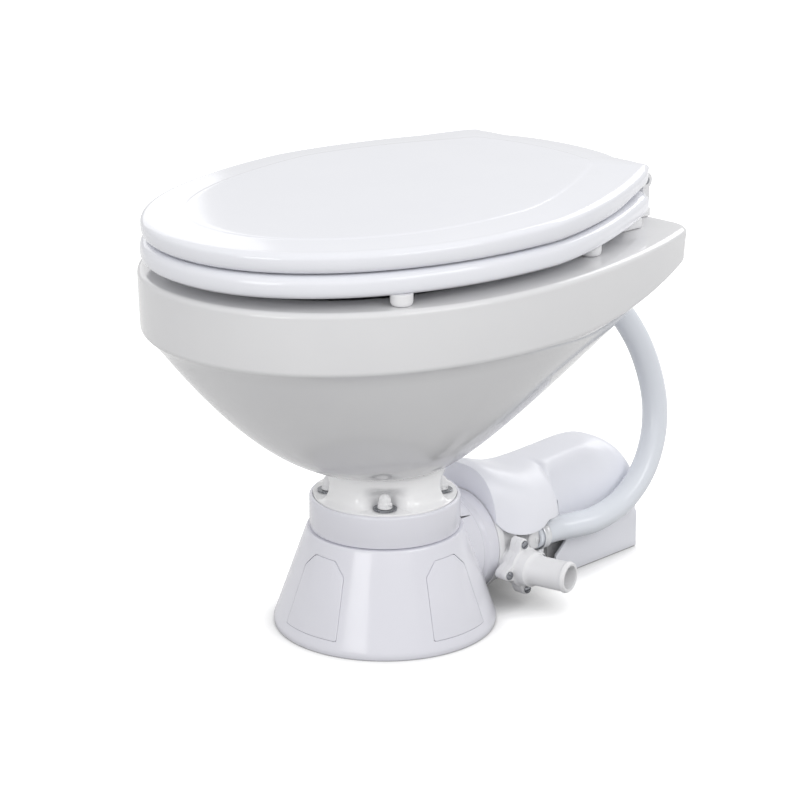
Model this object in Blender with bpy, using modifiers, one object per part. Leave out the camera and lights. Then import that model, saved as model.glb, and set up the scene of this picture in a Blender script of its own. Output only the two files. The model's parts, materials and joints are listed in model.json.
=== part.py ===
"""An electric marine toilet: a glazed china bowl with a hinged seat and lid, bolted to a moulded
pedestal, with a shaft-driven macerator and rinse pump, their motor, a cover and a rinse hose behind.

Metres, +Z up. The origin is on the floor, on the pedestal's upright axis. The sitter faces -Y, the
pumps and the motor lie behind at +Y, and the discharge leaves at +X.
"""

import math

import bmesh
import bpy
from mathutils import Matrix, Vector

# Fits between pieces
GAP = 0.0003            # between pieces that touch
OVERRUN = 0.004         # how far a cutter passes the faces it cuts
MERGE = 0.00001         # points this close are one
SIDES = 32              # facets round the pedestal
PIN_SIDES = 12          # facets round bolts, pins and washers
TUBE_SIDES = 12         # facets round tubes and small turned parts
DRUM_SIDES = 20         # facets round the pumps and the motor

# Pedestal
FOOT_RADIUS = 0.101
FOOT_EDGE = 0.005       # height of the upright edge at the floor
SEAM_RADIUS = 0.0705
SEAM_Z = 0.0915         # where the collar sits on the cone
PEDESTAL_WALL = 0.0055
HUB_RADIUS = 0.014
RIB_THICKNESS = 0.004
COLLAR_TOP_Z = 0.1215
COLLAR_RECESS = 0.0030  # depth of the dish that the bowl's foot stands in
COLLAR_RADIUS = 0.0692
COLLAR_EDGE = 0.004     # rounding of the collar's upper edge
COLLAR_WALL = 0.0032
COLLAR_DECK = 0.008
DRAIN_RADIUS = 0.0195
DRAIN_WALL = 0.005

# Covers over the floor bolts, clipped in the cone
COVER_LOW_Z = 0.013
COVER_HIGH_Z = 0.079
COVER_HALF_ANGLE = math.radians(19)
COVER_CHAMFER = 0.012
COVER_SKIN = 0.0026
COVER_LEDGE = 0.0030    # width of the ledge a cover lies on
COVER_CLEARANCE = 0.0005
COVER_ANGLES = {"front": -90, "left": 0, "right": 180}
FLOOR_BOLT_HOLE = 0.0045
FLOOR_PAD = 0.006       # thickness of the pad under a floor bolt's head

# Bowl
BOWL_HALF_WIDTH = 0.1875
BOWL_FRONT = 0.2310     # reach of the rim in front of the axis
BOWL_BELLY = 0.0200     # where behind the axis the rim is widest
BOWL_REAR = 0.2500      # reach of the rear deck
DECK_HALF_WIDTH = 0.1400
DECK_CORNER = 0.0240
DECK_TAPER = 1.9        # how late the bowl's sides draw in: 1 is straight
RIM_Z = 0.3480
RIM_EDGE = 0.0070       # rounding of the rim's upper edge
BAND_HEIGHT = 0.0520    # upright band under the rim
BAND_REAR_HEIGHT = 0.0280
BAND_DRAFT = 0.0012     # how far the band draws in at its foot
BAND_RETURN = 0.0050    # rounding under the band
CONE_POWER = 1.38       # fullness of the underside beside the neck: 1 is straight
CONE_POWER_CHANGE = 0.27  # more in front, less behind
NECK_RADIUS = 0.0545
NECK_TOP_Z = 0.1600
NECK_FILLET_Z = 0.1370
BOWL_FOOT_RADIUS = 0.0655
BOWL_FOOT_THICKNESS = 0.0030
GASKET_THICKNESS = 0.0010
RIM_WIDTH = 0.0545      # from the rim's outer edge to its opening, beside
RIM_FRONT_WIDTH = 0.0410
DECK_REACH = 0.1250     # from the opening to the rear edge
RIM_LIP = 0.0300        # depth of the rim's inner lip
BAND_WALL = 0.0250      # thickness of the china beside the hollow
REAR_WALL = 0.1000      # thickness of the china behind the hollow
HOLLOW_FLOOR_Z = 0.1640
WELL_RADIUS = 0.0260    # where the hollow narrows to the drain
BOLT_INSET = 0.0155     # from the foot's edge to a bolt
BOLT_RADIUS = 0.0030
BOLT_HOLE = 0.0036
POCKET_RADIUS = 0.0124
POCKET_HEIGHT = 0.0210
WASHER_RADIUS = 0.0108
WASHER_THICKNESS = 0.0012
CAP_NUT_RADIUS = 0.0066
CAP_NUT_HEIGHT = 0.0120
BOLT_HEAD_RADIUS = 0.0055
BOLT_HEAD_HEIGHT = 0.0040

# Seat and lid
SEAT_HALF_WIDTH = 0.1780
SEAT_FRONT = 0.2330
SEAT_BELLY = 0.0280
SEAT_REAR = 0.2330
SEAT_REAR_HALF_WIDTH = 0.1090
SEAT_CORNER = 0.0310
SEAT_TAPER = 1.5        # how late the sides draw in: 1 is straight
SEAT_LOW_Z = 0.3590
SEAT_THICKNESS = 0.0180
SEAT_HOLE_HALF_WIDTH = 0.1080
SEAT_HOLE_FRONT = 0.1580
SEAT_HOLE_REAR = 0.1180
LID_LOW_Z = 0.3830
LID_THICKNESS = 0.0160
LID_INSET = 0.0010      # the lid is this much smaller than the seat all round
LID_BORDER = 0.0380     # sloping border round the lid's flat top
LID_BORDER_DROP = 0.0014
BUMPER_RADIUS = 0.0095
LID_BUMPER_RADIUS = 0.0060

# Hinges
HINGE_Y = 0.2420         # behind the seat and lid, so that both can fold right over
HINGE_Z = 0.3820
HINGE_BARREL = 0.0075
HINGE_CLEARANCE = 0.0005
HINGE_PIN_RADIUS = 0.0030
HINGE_PIN_BORE = 0.0034
POST_INNER_X = 0.0700
POST_OUTER_X = 0.0940
EAR_WIDTH = 0.0120
HINGE_ARM = 0.0095       # thickness of the block's plate and arm
HINGE_STEM = 0.0130
HINGE_PLATE_OUTER_X = 0.1170
HINGE_PLATE_FRONT_Y = 0.1830
HINGE_PLATE_REAR_Y = 0.2100
HINGE_BOLT_X = 0.1040
HINGE_BOLT_Y = 0.1950
HINGE_BOLT_RADIUS = 0.0030
HINGE_BOLT_HEAD = 0.0060
HINGE_NUT_RADIUS = 0.0090
HINGE_NUT_HEIGHT = 0.0080
HINGE_POCKET_RADIUS = 0.0130
DECK_THICKNESS = 0.0220

# Waste pump behind the pedestal, on a shaft along Y
SHAFT_Z = 0.0505
DRUM_RADIUS = 0.0500
DRUM_REAR_Y = 0.0990
DRUM_WALL = 0.0050
DRUM_FRONT_Y = 0.0400
HOUSING_REAR_Y = 0.1280
HOUSING_WALL = 0.0045
DISCHARGE_Y = 0.1165
DISCHARGE_Z = 0.0350
DISCHARGE_BORE = 0.0110
PAD_X = 0.0600          # face of the discharge pad
FLANGE_THICKNESS = 0.0060
FLANGE_SCREW_CIRCLE = 0.0225
FLANGE_TILT = math.radians(6)
FLANGE_EAR_RADIUS = 0.0054
FLANGE_CORE_RADIUS = 0.0180
SCREW_RADIUS = 0.0020
SCREW_HEAD_RADIUS = 0.0040
SCREW_HEAD_HEIGHT = 0.0020
ELBOW_ROOT_RADIUS = 0.0165
ELBOW_ROOT_LENGTH = 0.0110
ELBOW_RADIUS = 0.0140
ELBOW_BORE = 0.0110
ELBOW_LENGTH = 0.0400
ELBOW_TURN = math.radians(12)
ELBOW_LIP = 0.0007
SHAFT_RADIUS = 0.0040
SHAFT_FRONT_Y = 0.0560
RUNNING = 0.0010        # running clearance round the rotor
BLADE_RADIUS = 0.0360
BLADE_THICKNESS = 0.0030
IMPELLER_RADIUS = 0.0340
IMPELLER_WIDTH = 0.0160
VANES = 6

# Rinse pump and motor
RINSE_Y = 0.1455          # middle of the rinse pump's ports
RINSE_REAR_Y = 0.1600
RINSE_RADIUS = 0.0300
RINSE_BORE = 0.0225
RINSE_HUB = 0.0090
RINSE_VANES = 6
MOTOR_RADIUS = 0.0310
MOTOR_REAR_Y = 0.2720
END_CAP_REAR_Y = 0.2860
INLET_BARB_LENGTH = 0.0300
RINSE_PORT_X = 0.0452   # where the outlet elbow turns back towards the hose
BARB_RADIUS = 0.0085
BARB_BORE = 0.0062
BARB_LENGTH = 0.0140
MOTOR_SEAT_Z = 0.0340   # height of the saddle under the motor

# Pump cover
HOOD_FRONT_Y = 0.0990
HOOD_REAR_Y = 0.3000
HOOD_SIDE_X = 0.0450
HOOD_WALL = 0.0026
HOOD_FLOOR_Z = 0.0010
HOOD_CLEARANCE = 0.0014  # between the hood and the drum
SHELF_Z = 0.0360        # ledge under the hose

# Rinse hose
HOSE_RADIUS = 0.0122
HOSE_BORE = 0.0095
SPUD_Z = 0.2680
SPUD_Y = 0.2240
SPUD_RADIUS = 0.0200
HOSE_STEP = 0.0170       # spacing of the points along the hose
CLAMP_WIDTH = 0.0085
CLAMP_THICKNESS = 0.0010

ALONG_X = (0, math.pi / 2, 0)
ALONG_Y = (-math.pi / 2, 0, 0)
UPRIGHT = (0, 0, 0)

PLASTICS = {
    "gloss_white": ((0.86, 0.86, 0.88), 0.18, 0.0),
    "china": ((0.84, 0.84, 0.85), 0.08, 0.0),
    "seat_white": ((0.88, 0.88, 0.90), 0.20, 0.0),
    "hood_white": ((0.85, 0.86, 0.90), 0.30, 0.0),
    "nylon": ((0.86, 0.86, 0.85), 0.45, 0.0),
    "hose_white": ((0.82, 0.84, 0.88), 0.25, 0.0),
    "pump_black": ((0.03, 0.03, 0.03), 0.45, 0.0),
    "rubber": ((0.05, 0.05, 0.05), 0.70, 0.0),
    "steel": ((0.62, 0.62, 0.63), 0.30, 1.0),
    "painted_black": ((0.04, 0.04, 0.045), 0.35, 0.0),
}


def new_collection(name):
    made = bpy.data.collections.new(name)
    bpy.context.scene.collection.children.link(made)
    return made


def material(name):
    found = bpy.data.materials.get(name)
    if found:
        return found
    colour, roughness, metallic = PLASTICS[name]
    made = bpy.data.materials.new(name)
    made.use_nodes = True
    shader = made.node_tree.nodes["Principled BSDF"]
    shader.inputs["Base Color"].default_value = (*colour, 1)
    shader.inputs["Roughness"].default_value = roughness
    shader.inputs["Metallic"].default_value = metallic
    made.diffuse_color = (*colour, 1)
    return made


def place(piece, finish):
    """Puts a piece in the toilet's collection with its material, or a cutter among the cutters."""
    for holder in list(piece.users_collection):
        holder.objects.unlink(piece)
    piece.hide_render = not finish
    piece.display_type = "TEXTURED" if finish else "WIRE"
    if finish:
        PARTS.objects.link(piece)
        piece.data.materials.clear()
        piece.data.materials.append(material(finish))
        piece.data.shade_smooth()
        piece.data.set_sharp_from_angle(angle=math.radians(35))
    else:
        CUTTERS.objects.link(piece)
    return piece


def from_bmesh(name, bm, finish=None):
    bmesh.ops.recalc_face_normals(bm, faces=bm.faces)
    mesh = bpy.data.meshes.new(name)
    bm.to_mesh(mesh)
    bm.free()
    piece = bpy.data.objects.new(name, mesh)
    bpy.context.scene.collection.objects.link(piece)
    return place(piece, finish)


def cylinder(name, radius, low, high, centre, turn=UPRIGHT, finish=None, sides=TUBE_SIDES):
    """A cylinder whose axis passes through centre, from low to high along that axis."""
    bpy.ops.mesh.primitive_cylinder_add(vertices=sides, radius=radius, depth=high - low,
                                        location=centre, rotation=turn)
    piece = bpy.context.active_object
    piece.name = name
    piece.data.transform(Matrix.Translation((0, 0, (low + high) / 2)))
    return place(piece, finish)


def block(name, low, high, finish=None):
    bpy.ops.mesh.primitive_cube_add(size=1)
    piece = bpy.context.active_object
    piece.name = name
    size = Vector(high) - Vector(low)
    middle = (Vector(high) + Vector(low)) / 2
    piece.data.transform(Matrix.Translation(middle) @ Matrix.Diagonal((*size, 1)))
    return place(piece, finish)


def turned(name, profile, centre=(0, 0, 0), turn=UPRIGHT, finish=None, sides=TUBE_SIDES, ring=False):
    """A turned piece. Its profile of (radius, height) runs down its outer side; a ring's is a loop."""
    mesh = bpy.data.meshes.new(name)
    points = [(radius, 0, height) for radius, height in profile]
    edges = [(i, i + 1) for i in range(len(points) - 1)]
    if ring:
        edges.append((len(points) - 1, 0))
    mesh.from_pydata(points, edges, [])
    piece = bpy.data.objects.new(name, mesh)
    bpy.context.scene.collection.objects.link(piece)
    piece.location = centre
    piece.rotation_euler = turn
    screw = piece.modifiers.new("turn", "SCREW")
    screw.steps = sides
    screw.render_steps = sides
    screw.use_merge_vertices = True
    screw.merge_threshold = MERGE
    screw.use_smooth_shade = True
    return place(piece, finish)


def prism(name, outline, low, high, turn=None, finish=None):
    """An outline of (a, b) points raised from low to high, then turned by a matrix."""
    bm = bmesh.new()
    foot = [bm.verts.new((a, b, low)) for a, b in outline]
    face = bm.faces.new(foot)
    raised = bmesh.ops.extrude_face_region(bm, geom=[face])
    lifted = [item for item in raised["geom"] if isinstance(item, bmesh.types.BMVert)]
    bmesh.ops.translate(bm, verts=lifted, vec=(0, 0, high - low))
    if turn:
        bm.transform(turn)
    return from_bmesh(name, bm, finish)


def loft(name, rings, finish=None, closed=False):
    """Skins rings that have the same number of points. A closed loft joins the last to the first."""
    bm = bmesh.new()
    rows = [[bm.verts.new(point) for point in ring] for ring in rings]
    count = len(rows[0])
    pairs = list(zip(rows, rows[1:]))
    if closed:
        pairs.append((rows[-1], rows[0]))
    for lower, upper in pairs:
        for i in range(count):
            j = (i + 1) % count
            bm.faces.new((lower[i], lower[j], upper[j], upper[i]))
    if not closed:
        bm.faces.new(rows[0])
        bm.faces.new(rows[-1])
    return from_bmesh(name, bm, finish)


def boolean(piece, other, operation):
    step = piece.modifiers.new(operation.lower(), "BOOLEAN")
    step.operation = operation
    step.solver = "EXACT"
    step.object = other
    return piece


def cut(piece, *cutters):
    for cutter in cutters:
        boolean(piece, cutter, "DIFFERENCE")
    return piece


def join(piece, *others):
    for other in others:
        boolean(piece, other, "UNION")
    return piece


def arc(centre, radius, start, end, count):
    """Points on an arc, its angles in degrees."""
    turns = [math.radians(start + (end - start) * i / count) for i in range(count + 1)]
    return [(centre[0] + radius * math.cos(turn), centre[1] + radius * math.sin(turn)) for turn in turns]


FRONT_STEPS = 9         # points along the egg's front quarter
SIDE_STEPS = 4          # points along its side
CORNER_STEPS = 3
REAR_STEPS = 2
FRONT_POWER = 2.1       # a little fuller than an ellipse


def egg(half_width, front, belly, rear, rear_half_width, corner, taper):
    """The plan of a rim, seat or lid: full at the front, drawn in to a straight rear edge."""
    half = []
    for i in range(FRONT_STEPS):
        turn = math.pi / 2 * i / FRONT_STEPS
        half.append((half_width * math.sin(turn) ** (2 / FRONT_POWER),
                     belly - (belly + front) * math.cos(turn) ** (2 / FRONT_POWER)))
    run = rear - belly
    slope = math.atan((half_width - rear_half_width) * taper / run)
    side_end = rear - corner * (1 - math.sin(slope))
    for i in range(SIDE_STEPS + 1):
        y = belly + (side_end - belly) * i / SIDE_STEPS
        half.append((half_width - (half_width - rear_half_width) * ((y - belly) / run) ** taper, y))
    corner_x = half[-1][0] - corner * math.cos(slope)
    for i in range(1, CORNER_STEPS + 1):
        turn = slope + (math.pi / 2 - slope) * i / CORNER_STEPS
        half.append((corner_x + corner * math.cos(turn), rear - corner + corner * math.sin(turn)))
    for i in range(1, REAR_STEPS + 1):
        half.append((corner_x * (1 - i / REAR_STEPS), rear))
    return half + [(-x, y) for x, y in reversed(half[1:-1])]


def level(outline, z):
    return [(x, y, z) for x, y in outline]


for old in list(bpy.data.objects):
    bpy.data.objects.remove(old, do_unlink=True)
PARTS = new_collection("electric_marine_toilet")
CUTTERS = new_collection("cutters")


def cone_radius(z, inset=0):
    """Radius of the pedestal's cone at a height."""
    share = max(0, z - FOOT_EDGE) / (SEAM_Z - FOOT_EDGE)
    return FOOT_RADIUS + (SEAM_RADIUS - FOOT_RADIUS) * share - inset


def cone_layer(name, outer, inner, low=-OVERRUN, high=SEAM_Z):
    """A layer of the cone's wall, between two insets from its face."""
    profile = [(cone_radius(high, inner), high), (cone_radius(high, outer), high)]
    if low < FOOT_EDGE:
        profile += [(cone_radius(FOOT_EDGE, outer), FOOT_EDGE), (cone_radius(low, outer), low),
                    (cone_radius(low, inner), low), (cone_radius(FOOT_EDGE, inner), FOOT_EDGE)]
    else:
        profile += [(cone_radius(low, outer), low), (cone_radius(low, inner), low)]
    return turned(name, profile, sides=SIDES, ring=True)


def cover_window(name, angle, grow):
    """A prism pointing out from the axis with the outline of a bolt cover, grown all round."""
    low_half = cone_radius(COVER_LOW_Z) * math.sin(COVER_HALF_ANGLE) + grow
    high_half = cone_radius(COVER_HIGH_Z) * math.sin(COVER_HALF_ANGLE) + grow
    low, high = COVER_LOW_Z - grow, COVER_HIGH_Z + grow
    outline = [(-low_half, low), (low_half, low), (high_half, high - COVER_CHAMFER),
               (high_half - COVER_CHAMFER, high), (COVER_CHAMFER - high_half, high),
               (-high_half, high - COVER_CHAMFER)]
    stand = Matrix.Rotation(math.radians(angle) + math.pi / 2, 4, "Z")
    return prism(name, outline, SEAM_RADIUS / 2, FOOT_RADIUS + OVERRUN,
                 stand @ Matrix.Rotation(math.pi / 2, 4, "X"))


def pedestal():
    foot = FOOT_RADIUS
    wall = PEDESTAL_WALL
    top = SEAM_Z - GAP
    roof = top - COLLAR_DECK / 2
    body = turned("pedestal_body", [
        (DRAIN_RADIUS + DRAIN_WALL / 2, top), (cone_radius(top), top), (foot, FOOT_EDGE), (foot, 0),
        (foot - wall, 0), (foot - wall, FOOT_EDGE), (cone_radius(roof, wall), roof),
        (DRAIN_RADIUS + DRAIN_WALL / 2, roof)],
        finish="gloss_white", sides=SIDES, ring=True)
    ribs = []
    for i in range(2):
        rib = block(f"rib_{i}", (-foot + wall / 2, -RIB_THICKNESS / 2, FLOOR_PAD / 4),
                    (foot - wall / 2, RIB_THICKNESS / 2, FLOOR_PAD * 0.9))
        rib.rotation_euler = (0, 0, math.radians(45 + 90 * i))
        ribs.append(rib)
    hub = cylinder("hub", HUB_RADIUS, 0, FLOOR_PAD * 1.5, (0, 0, 0))
    drum = cylinder("drum", DRUM_RADIUS, DRUM_FRONT_Y, DRUM_REAR_Y, (0, 0, SHAFT_Z), ALONG_Y, sides=DRUM_SIDES)
    join(body, *ribs, hub, drum)
    for angle in (-90, 0, 180):
        turn = math.radians(angle)
        reach = foot - wall - FLOOR_BOLT_HOLE * 3
        centre = (reach * math.cos(turn), reach * math.sin(turn), 0)
        join(body, cylinder("pad", FLOOR_BOLT_HOLE * 3.6, FLOOR_PAD / 8, FLOOR_PAD, centre))
        cut(body, cylinder("floor_hole", FLOOR_BOLT_HOLE, -OVERRUN, FLOOR_PAD + OVERRUN, centre))
    cavity = cylinder("drum_cavity", DRUM_RADIUS - DRUM_WALL, DRUM_FRONT_Y + DRUM_WALL,
                      DRUM_REAR_Y + OVERRUN, (0, 0, SHAFT_Z), ALONG_Y, sides=DRUM_SIDES)
    drain_floor = SHAFT_Z - DRAIN_RADIUS
    sleeve = cylinder("sleeve", DRAIN_RADIUS + DRAIN_WALL, drain_floor - DRAIN_WALL, (roof + top) / 2,
                      (0, 0, 0))
    bridge = cylinder("bridge", DRAIN_RADIUS + DRAIN_WALL, 0, DRUM_FRONT_Y + OVERRUN, (0, 0, SHAFT_Z), ALONG_Y)
    way_down = cylinder("way_down", DRAIN_RADIUS, drain_floor, SEAM_Z + OVERRUN, (0, 0, 0))
    way_back = cylinder("way_back", DRAIN_RADIUS - GAP, 0, DRUM_FRONT_Y + DRUM_WALL + OVERRUN,
                        (0, 0, SHAFT_Z), ALONG_Y)
    pump_way = cylinder("pump_way", DRUM_RADIUS + GAP, DRUM_REAR_Y, foot + OVERRUN, (0, 0, SHAFT_Z), ALONG_Y,
                        sides=DRUM_SIDES)
    join(body, sleeve, bridge)
    cut(body, way_down, way_back, cavity, pump_way)
    for name, angle in COVER_ANGLES.items():
        window = cover_window(f"cover_window_{name}", angle, 0)
        recess = cone_layer(f"cover_recess_{name}", -OVERRUN, COVER_SKIN + GAP)
        boolean(recess, window, "INTERSECT")
        opening = cover_window(f"cover_opening_{name}", angle, -COVER_LEDGE)
        wall_cut = cone_layer(f"cover_wall_{name}", -OVERRUN, wall + OVERRUN)
        boolean(wall_cut, opening, "INTERSECT")
        cut(body, recess, wall_cut)
        cover = cone_layer(f"bolt_cover_{name}", 0, COVER_SKIN)
        boolean(cover, cover_window(f"cover_shape_{name}", angle, -COVER_CLEARANCE), "INTERSECT")
        place(cover, "gloss_white")
    return body


def collar():
    """The ring that carries the bowl: a deck on a skirt, with a bore for the drain."""
    top = COLLAR_TOP_Z
    dish = top - COLLAR_RECESS
    inner = COLLAR_RADIUS - COLLAR_WALL
    bore = DRAIN_RADIUS + GAP
    edge = arc((COLLAR_RADIUS - COLLAR_EDGE, top - COLLAR_EDGE), COLLAR_EDGE, 75, 0, 3)
    ring = turned("pedestal_collar", [(bore, dish), (BOWL_FOOT_RADIUS + 2 * GAP, dish),
                                      (BOWL_FOOT_RADIUS + 2 * GAP, edge[0][1]), *edge, (COLLAR_RADIUS, SEAM_Z),
                                      (inner, SEAM_Z), (inner, dish - COLLAR_DECK),
                                      (DRAIN_RADIUS + DRAIN_WALL, dish - COLLAR_DECK),
                                      (DRAIN_RADIUS + DRAIN_WALL, SEAM_Z), (bore, SEAM_Z)],
                  finish="gloss_white", sides=SIDES, ring=True)
    cut(ring, cylinder("collar_drum_way", DRUM_RADIUS + GAP, DRUM_FRONT_Y - OVERRUN, COLLAR_RADIUS + OVERRUN,
                       (0, 0, SHAFT_Z), ALONG_Y, sides=DRUM_SIDES))
    return ring


def bowl():
    """Glazed china, skinned from the drain up the hollow, over the rim and down to the foot."""
    def rim_plan(inset):
        return egg(BOWL_HALF_WIDTH - inset, BOWL_FRONT - inset, BOWL_BELLY, BOWL_REAR - inset,
                   DECK_HALF_WIDTH - inset, DECK_CORNER * (1 - inset / DECK_HALF_WIDTH), DECK_TAPER)
    rim = rim_plan(0)
    opening_half_width = BOWL_HALF_WIDTH - RIM_WIDTH
    opening_front = BOWL_FRONT - RIM_FRONT_WIDTH
    opening_rear = BOWL_REAR - DECK_REACH
    hollow_half_width = BOWL_HALF_WIDTH - BAND_WALL
    hollow_front = BOWL_FRONT - BAND_WALL
    hollow_rear = BOWL_REAR - REAR_WALL
    turns = []
    for x, y in rim:
        reach = BOWL_FRONT + BOWL_BELLY if y < BOWL_BELLY else BOWL_REAR - BOWL_BELLY
        turns.append(math.atan2((y - BOWL_BELLY) / reach, x / BOWL_HALF_WIDTH))

    def oval(half_width, front, rear, z):
        middle, reach = (rear - front) / 2, (rear + front) / 2
        return [(half_width * math.cos(turn), middle + reach * math.sin(turn), z) for turn in turns]

    def circle(radius, z):
        return oval(radius, radius, radius, z)

    foot_low = COLLAR_TOP_Z - COLLAR_RECESS + GASKET_THICKNESS + 2 * GAP
    foot_high = foot_low + BOWL_FOOT_THICKNESS
    depth = RIM_Z - RIM_LIP - HOLLOW_FLOOR_Z
    rings = [circle(DRAIN_RADIUS, foot_low), circle(DRAIN_RADIUS, HOLLOW_FLOOR_Z - WELL_RADIUS / 2),
             circle(WELL_RADIUS, HOLLOW_FLOOR_Z)]
    for share, rise_share in ((0.50, 0.17), (0.74, 0.38), (0.91, 0.64), (1.0, 0.88)):
        rings.append(oval(hollow_half_width * share, hollow_front * share ** 1.4 * 0.99,
                          hollow_rear * share, HOLLOW_FLOOR_Z + depth * rise_share))
    lip = RIM_Z - RIM_LIP
    rings += [oval(hollow_half_width, hollow_front, hollow_rear, lip - RIM_EDGE / 2),
              oval(opening_half_width, opening_front, opening_rear, lip),
              oval(opening_half_width - RIM_EDGE / 2, opening_front - RIM_EDGE / 2, opening_rear, RIM_Z - RIM_EDGE)]
    for inset, height in arc((0, 0), RIM_EDGE, 0, 90, 3)[1:]:
        outward = RIM_EDGE * 1.5 - inset
        rings.append(oval(opening_half_width + outward - RIM_EDGE, opening_front + outward - RIM_EDGE,
                          opening_rear + outward - RIM_EDGE / 2, RIM_Z - RIM_EDGE + height))
    for out, height in arc((0, 0), RIM_EDGE, 90, 0, 4):
        rings.append(level(rim_plan(RIM_EDGE - out), RIM_Z - RIM_EDGE + height))

    def band_foot(inset, raised):
        """The band's foot, which rises behind the belly to the thinner rear deck."""
        ring = []
        for x, y in rim_plan(inset):
            share = min(1, max(0, (y - BOWL_BELLY * 2) / (BOWL_REAR - BOWL_BELLY * 2)))
            lift = (BAND_HEIGHT - BAND_REAR_HEIGHT) * share ** 1.5
            ring.append((x, y, RIM_Z - BAND_HEIGHT + lift + raised))
        return ring

    rings += [band_foot(BAND_DRAFT, BAND_RETURN / 2),
              band_foot(BAND_DRAFT + BAND_RETURN * 0.35, BAND_RETURN * 0.1)]
    top = band_foot(BAND_DRAFT + BAND_RETURN, -BAND_RETURN / 2)
    neck = circle(NECK_RADIUS, NECK_TOP_Z)
    for share in (0.86, 0.70, 0.52, 0.36, 0.22, 0.12, 0.05):
        ring = []
        for low, high in zip(neck, top):
            rise = share ** (CONE_POWER - CONE_POWER_CHANGE * high[1] / BOWL_REAR)
            ring.append((low[0] + (high[0] - low[0]) * share, low[1] + (high[1] - low[1]) * share,
                         low[2] + (high[2] - low[2]) * rise))
        rings.append(ring)
    rings.insert(-7, top)
    rings += [circle(NECK_RADIUS, NECK_TOP_Z - 0.35 * (NECK_TOP_Z - NECK_FILLET_Z)),
              circle(NECK_RADIUS, NECK_FILLET_Z),
              circle((NECK_RADIUS * 3 + BOWL_FOOT_RADIUS) / 4, (NECK_FILLET_Z + foot_high) / 2),
              circle(BOWL_FOOT_RADIUS - BOWL_FOOT_THICKNESS / 4, foot_high),
              circle(BOWL_FOOT_RADIUS, foot_high - BOWL_FOOT_THICKNESS / 4), circle(BOWL_FOOT_RADIUS, foot_low)]
    body = loft("bowl", rings, "china", closed=True)

    spud_low = SPUD_Y - 3 * SPUD_RADIUS
    spud_boss = cylinder("spud_boss", SPUD_RADIUS, spud_low, SPUD_Y, (0, 0, SPUD_Z), ALONG_Y)
    join(body, spud_boss)
    spud_bore = cylinder("spud_bore", HOSE_RADIUS, hollow_rear - SPUD_RADIUS, SPUD_Y + OVERRUN,
                         (0, 0, SPUD_Z), ALONG_Y)
    cut(body, spud_bore)
    for x, y in bolt_places():
        cut(body, cylinder("bowl_bolt_hole", BOLT_HOLE, foot_low - OVERRUN, foot_high + OVERRUN, (x, y, 0),
                           sides=PIN_SIDES))
        cut(body, cylinder("bolt_pocket", POCKET_RADIUS, foot_high, foot_high + POCKET_HEIGHT, (x, y, 0)))
    for side in (-1, 1):
        place_at = (side * HINGE_BOLT_X, HINGE_BOLT_Y, 0)
        cut(body, cylinder("hinge_bolt_hole", HINGE_BOLT_RADIUS + 2 * GAP, RIM_Z - DECK_THICKNESS - OVERRUN,
                           RIM_Z + OVERRUN, place_at, sides=PIN_SIDES),
            cylinder("hinge_nut_pocket", HINGE_POCKET_RADIUS, RIM_Z - 4 * DECK_THICKNESS, RIM_Z - DECK_THICKNESS,
                     place_at))
    return body


def bolt_places():
    turns = [math.radians(45 + 90 * i) for i in range(4)]
    reach = BOWL_FOOT_RADIUS - BOLT_INSET
    return [(reach * math.cos(turn), reach * math.sin(turn)) for turn in turns]


def bowl_fixings():
    low = COLLAR_TOP_Z - COLLAR_RECESS + GAP
    gasket = turned("bowl_gasket", [(DRAIN_RADIUS, low + GASKET_THICKNESS),
                                    (BOWL_FOOT_RADIUS - GAP, low + GASKET_THICKNESS),
                                    (BOWL_FOOT_RADIUS - GAP, low), (DRAIN_RADIUS, low)],
                    finish="rubber", sides=SIDES, ring=True)
    ring = bpy.data.objects["pedestal_collar"]
    seat_z = low + GASKET_THICKNESS + GAP + BOWL_FOOT_THICKNESS + GAP
    under = low - COLLAR_DECK - 2 * GAP
    for i, (x, y) in enumerate(bolt_places(), 1):
        for piece in (gasket, ring):
            cut(piece, cylinder("bolt_way", BOLT_HOLE, under - OVERRUN, seat_z, (x, y, 0), sides=PIN_SIDES))
        nut_z = seat_z + WASHER_THICKNESS + GAP
        bolt_top = nut_z + CAP_NUT_HEIGHT * 0.7
        turned(f"bowl_bolt_{i}", [(0, bolt_top), (BOLT_RADIUS, bolt_top), (BOLT_RADIUS, under),
                                  (BOLT_HEAD_RADIUS, under), (BOLT_HEAD_RADIUS, under - BOLT_HEAD_HEIGHT),
                                  (0, under - BOLT_HEAD_HEIGHT)],
               (x, y, 0), finish="steel", sides=PIN_SIDES)
        turned(f"bowl_washer_{i}", [(BOLT_RADIUS + GAP, seat_z + WASHER_THICKNESS),
                                    (WASHER_RADIUS, seat_z + WASHER_THICKNESS), (WASHER_RADIUS, seat_z),
                                    (BOLT_RADIUS + GAP, seat_z)],
               (x, y, 0), finish="steel", sides=PIN_SIDES, ring=True)
        nut_top = nut_z + CAP_NUT_HEIGHT
        hollow = bolt_top + GAP
        turned(f"bowl_nut_{i}", [(0, nut_top), (CAP_NUT_RADIUS * 0.55, nut_top),
                                 (CAP_NUT_RADIUS * 0.85, nut_top - CAP_NUT_RADIUS * 0.25),
                                 (CAP_NUT_RADIUS * 0.9, nut_z + CAP_NUT_RADIUS * 0.4), (CAP_NUT_RADIUS, nut_z),
                                 (BOLT_RADIUS + GAP, nut_z), (BOLT_RADIUS + GAP, hollow), (0, hollow)],
               (x, y, 0), finish="nylon", sides=PIN_SIDES)


def seat_plan(inset):
    return egg(SEAT_HALF_WIDTH - inset, SEAT_FRONT - inset, SEAT_BELLY, SEAT_REAR - inset,
               SEAT_REAR_HALF_WIDTH - inset, SEAT_CORNER * (1 - inset / SEAT_HALF_WIDTH), SEAT_TAPER)


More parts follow.
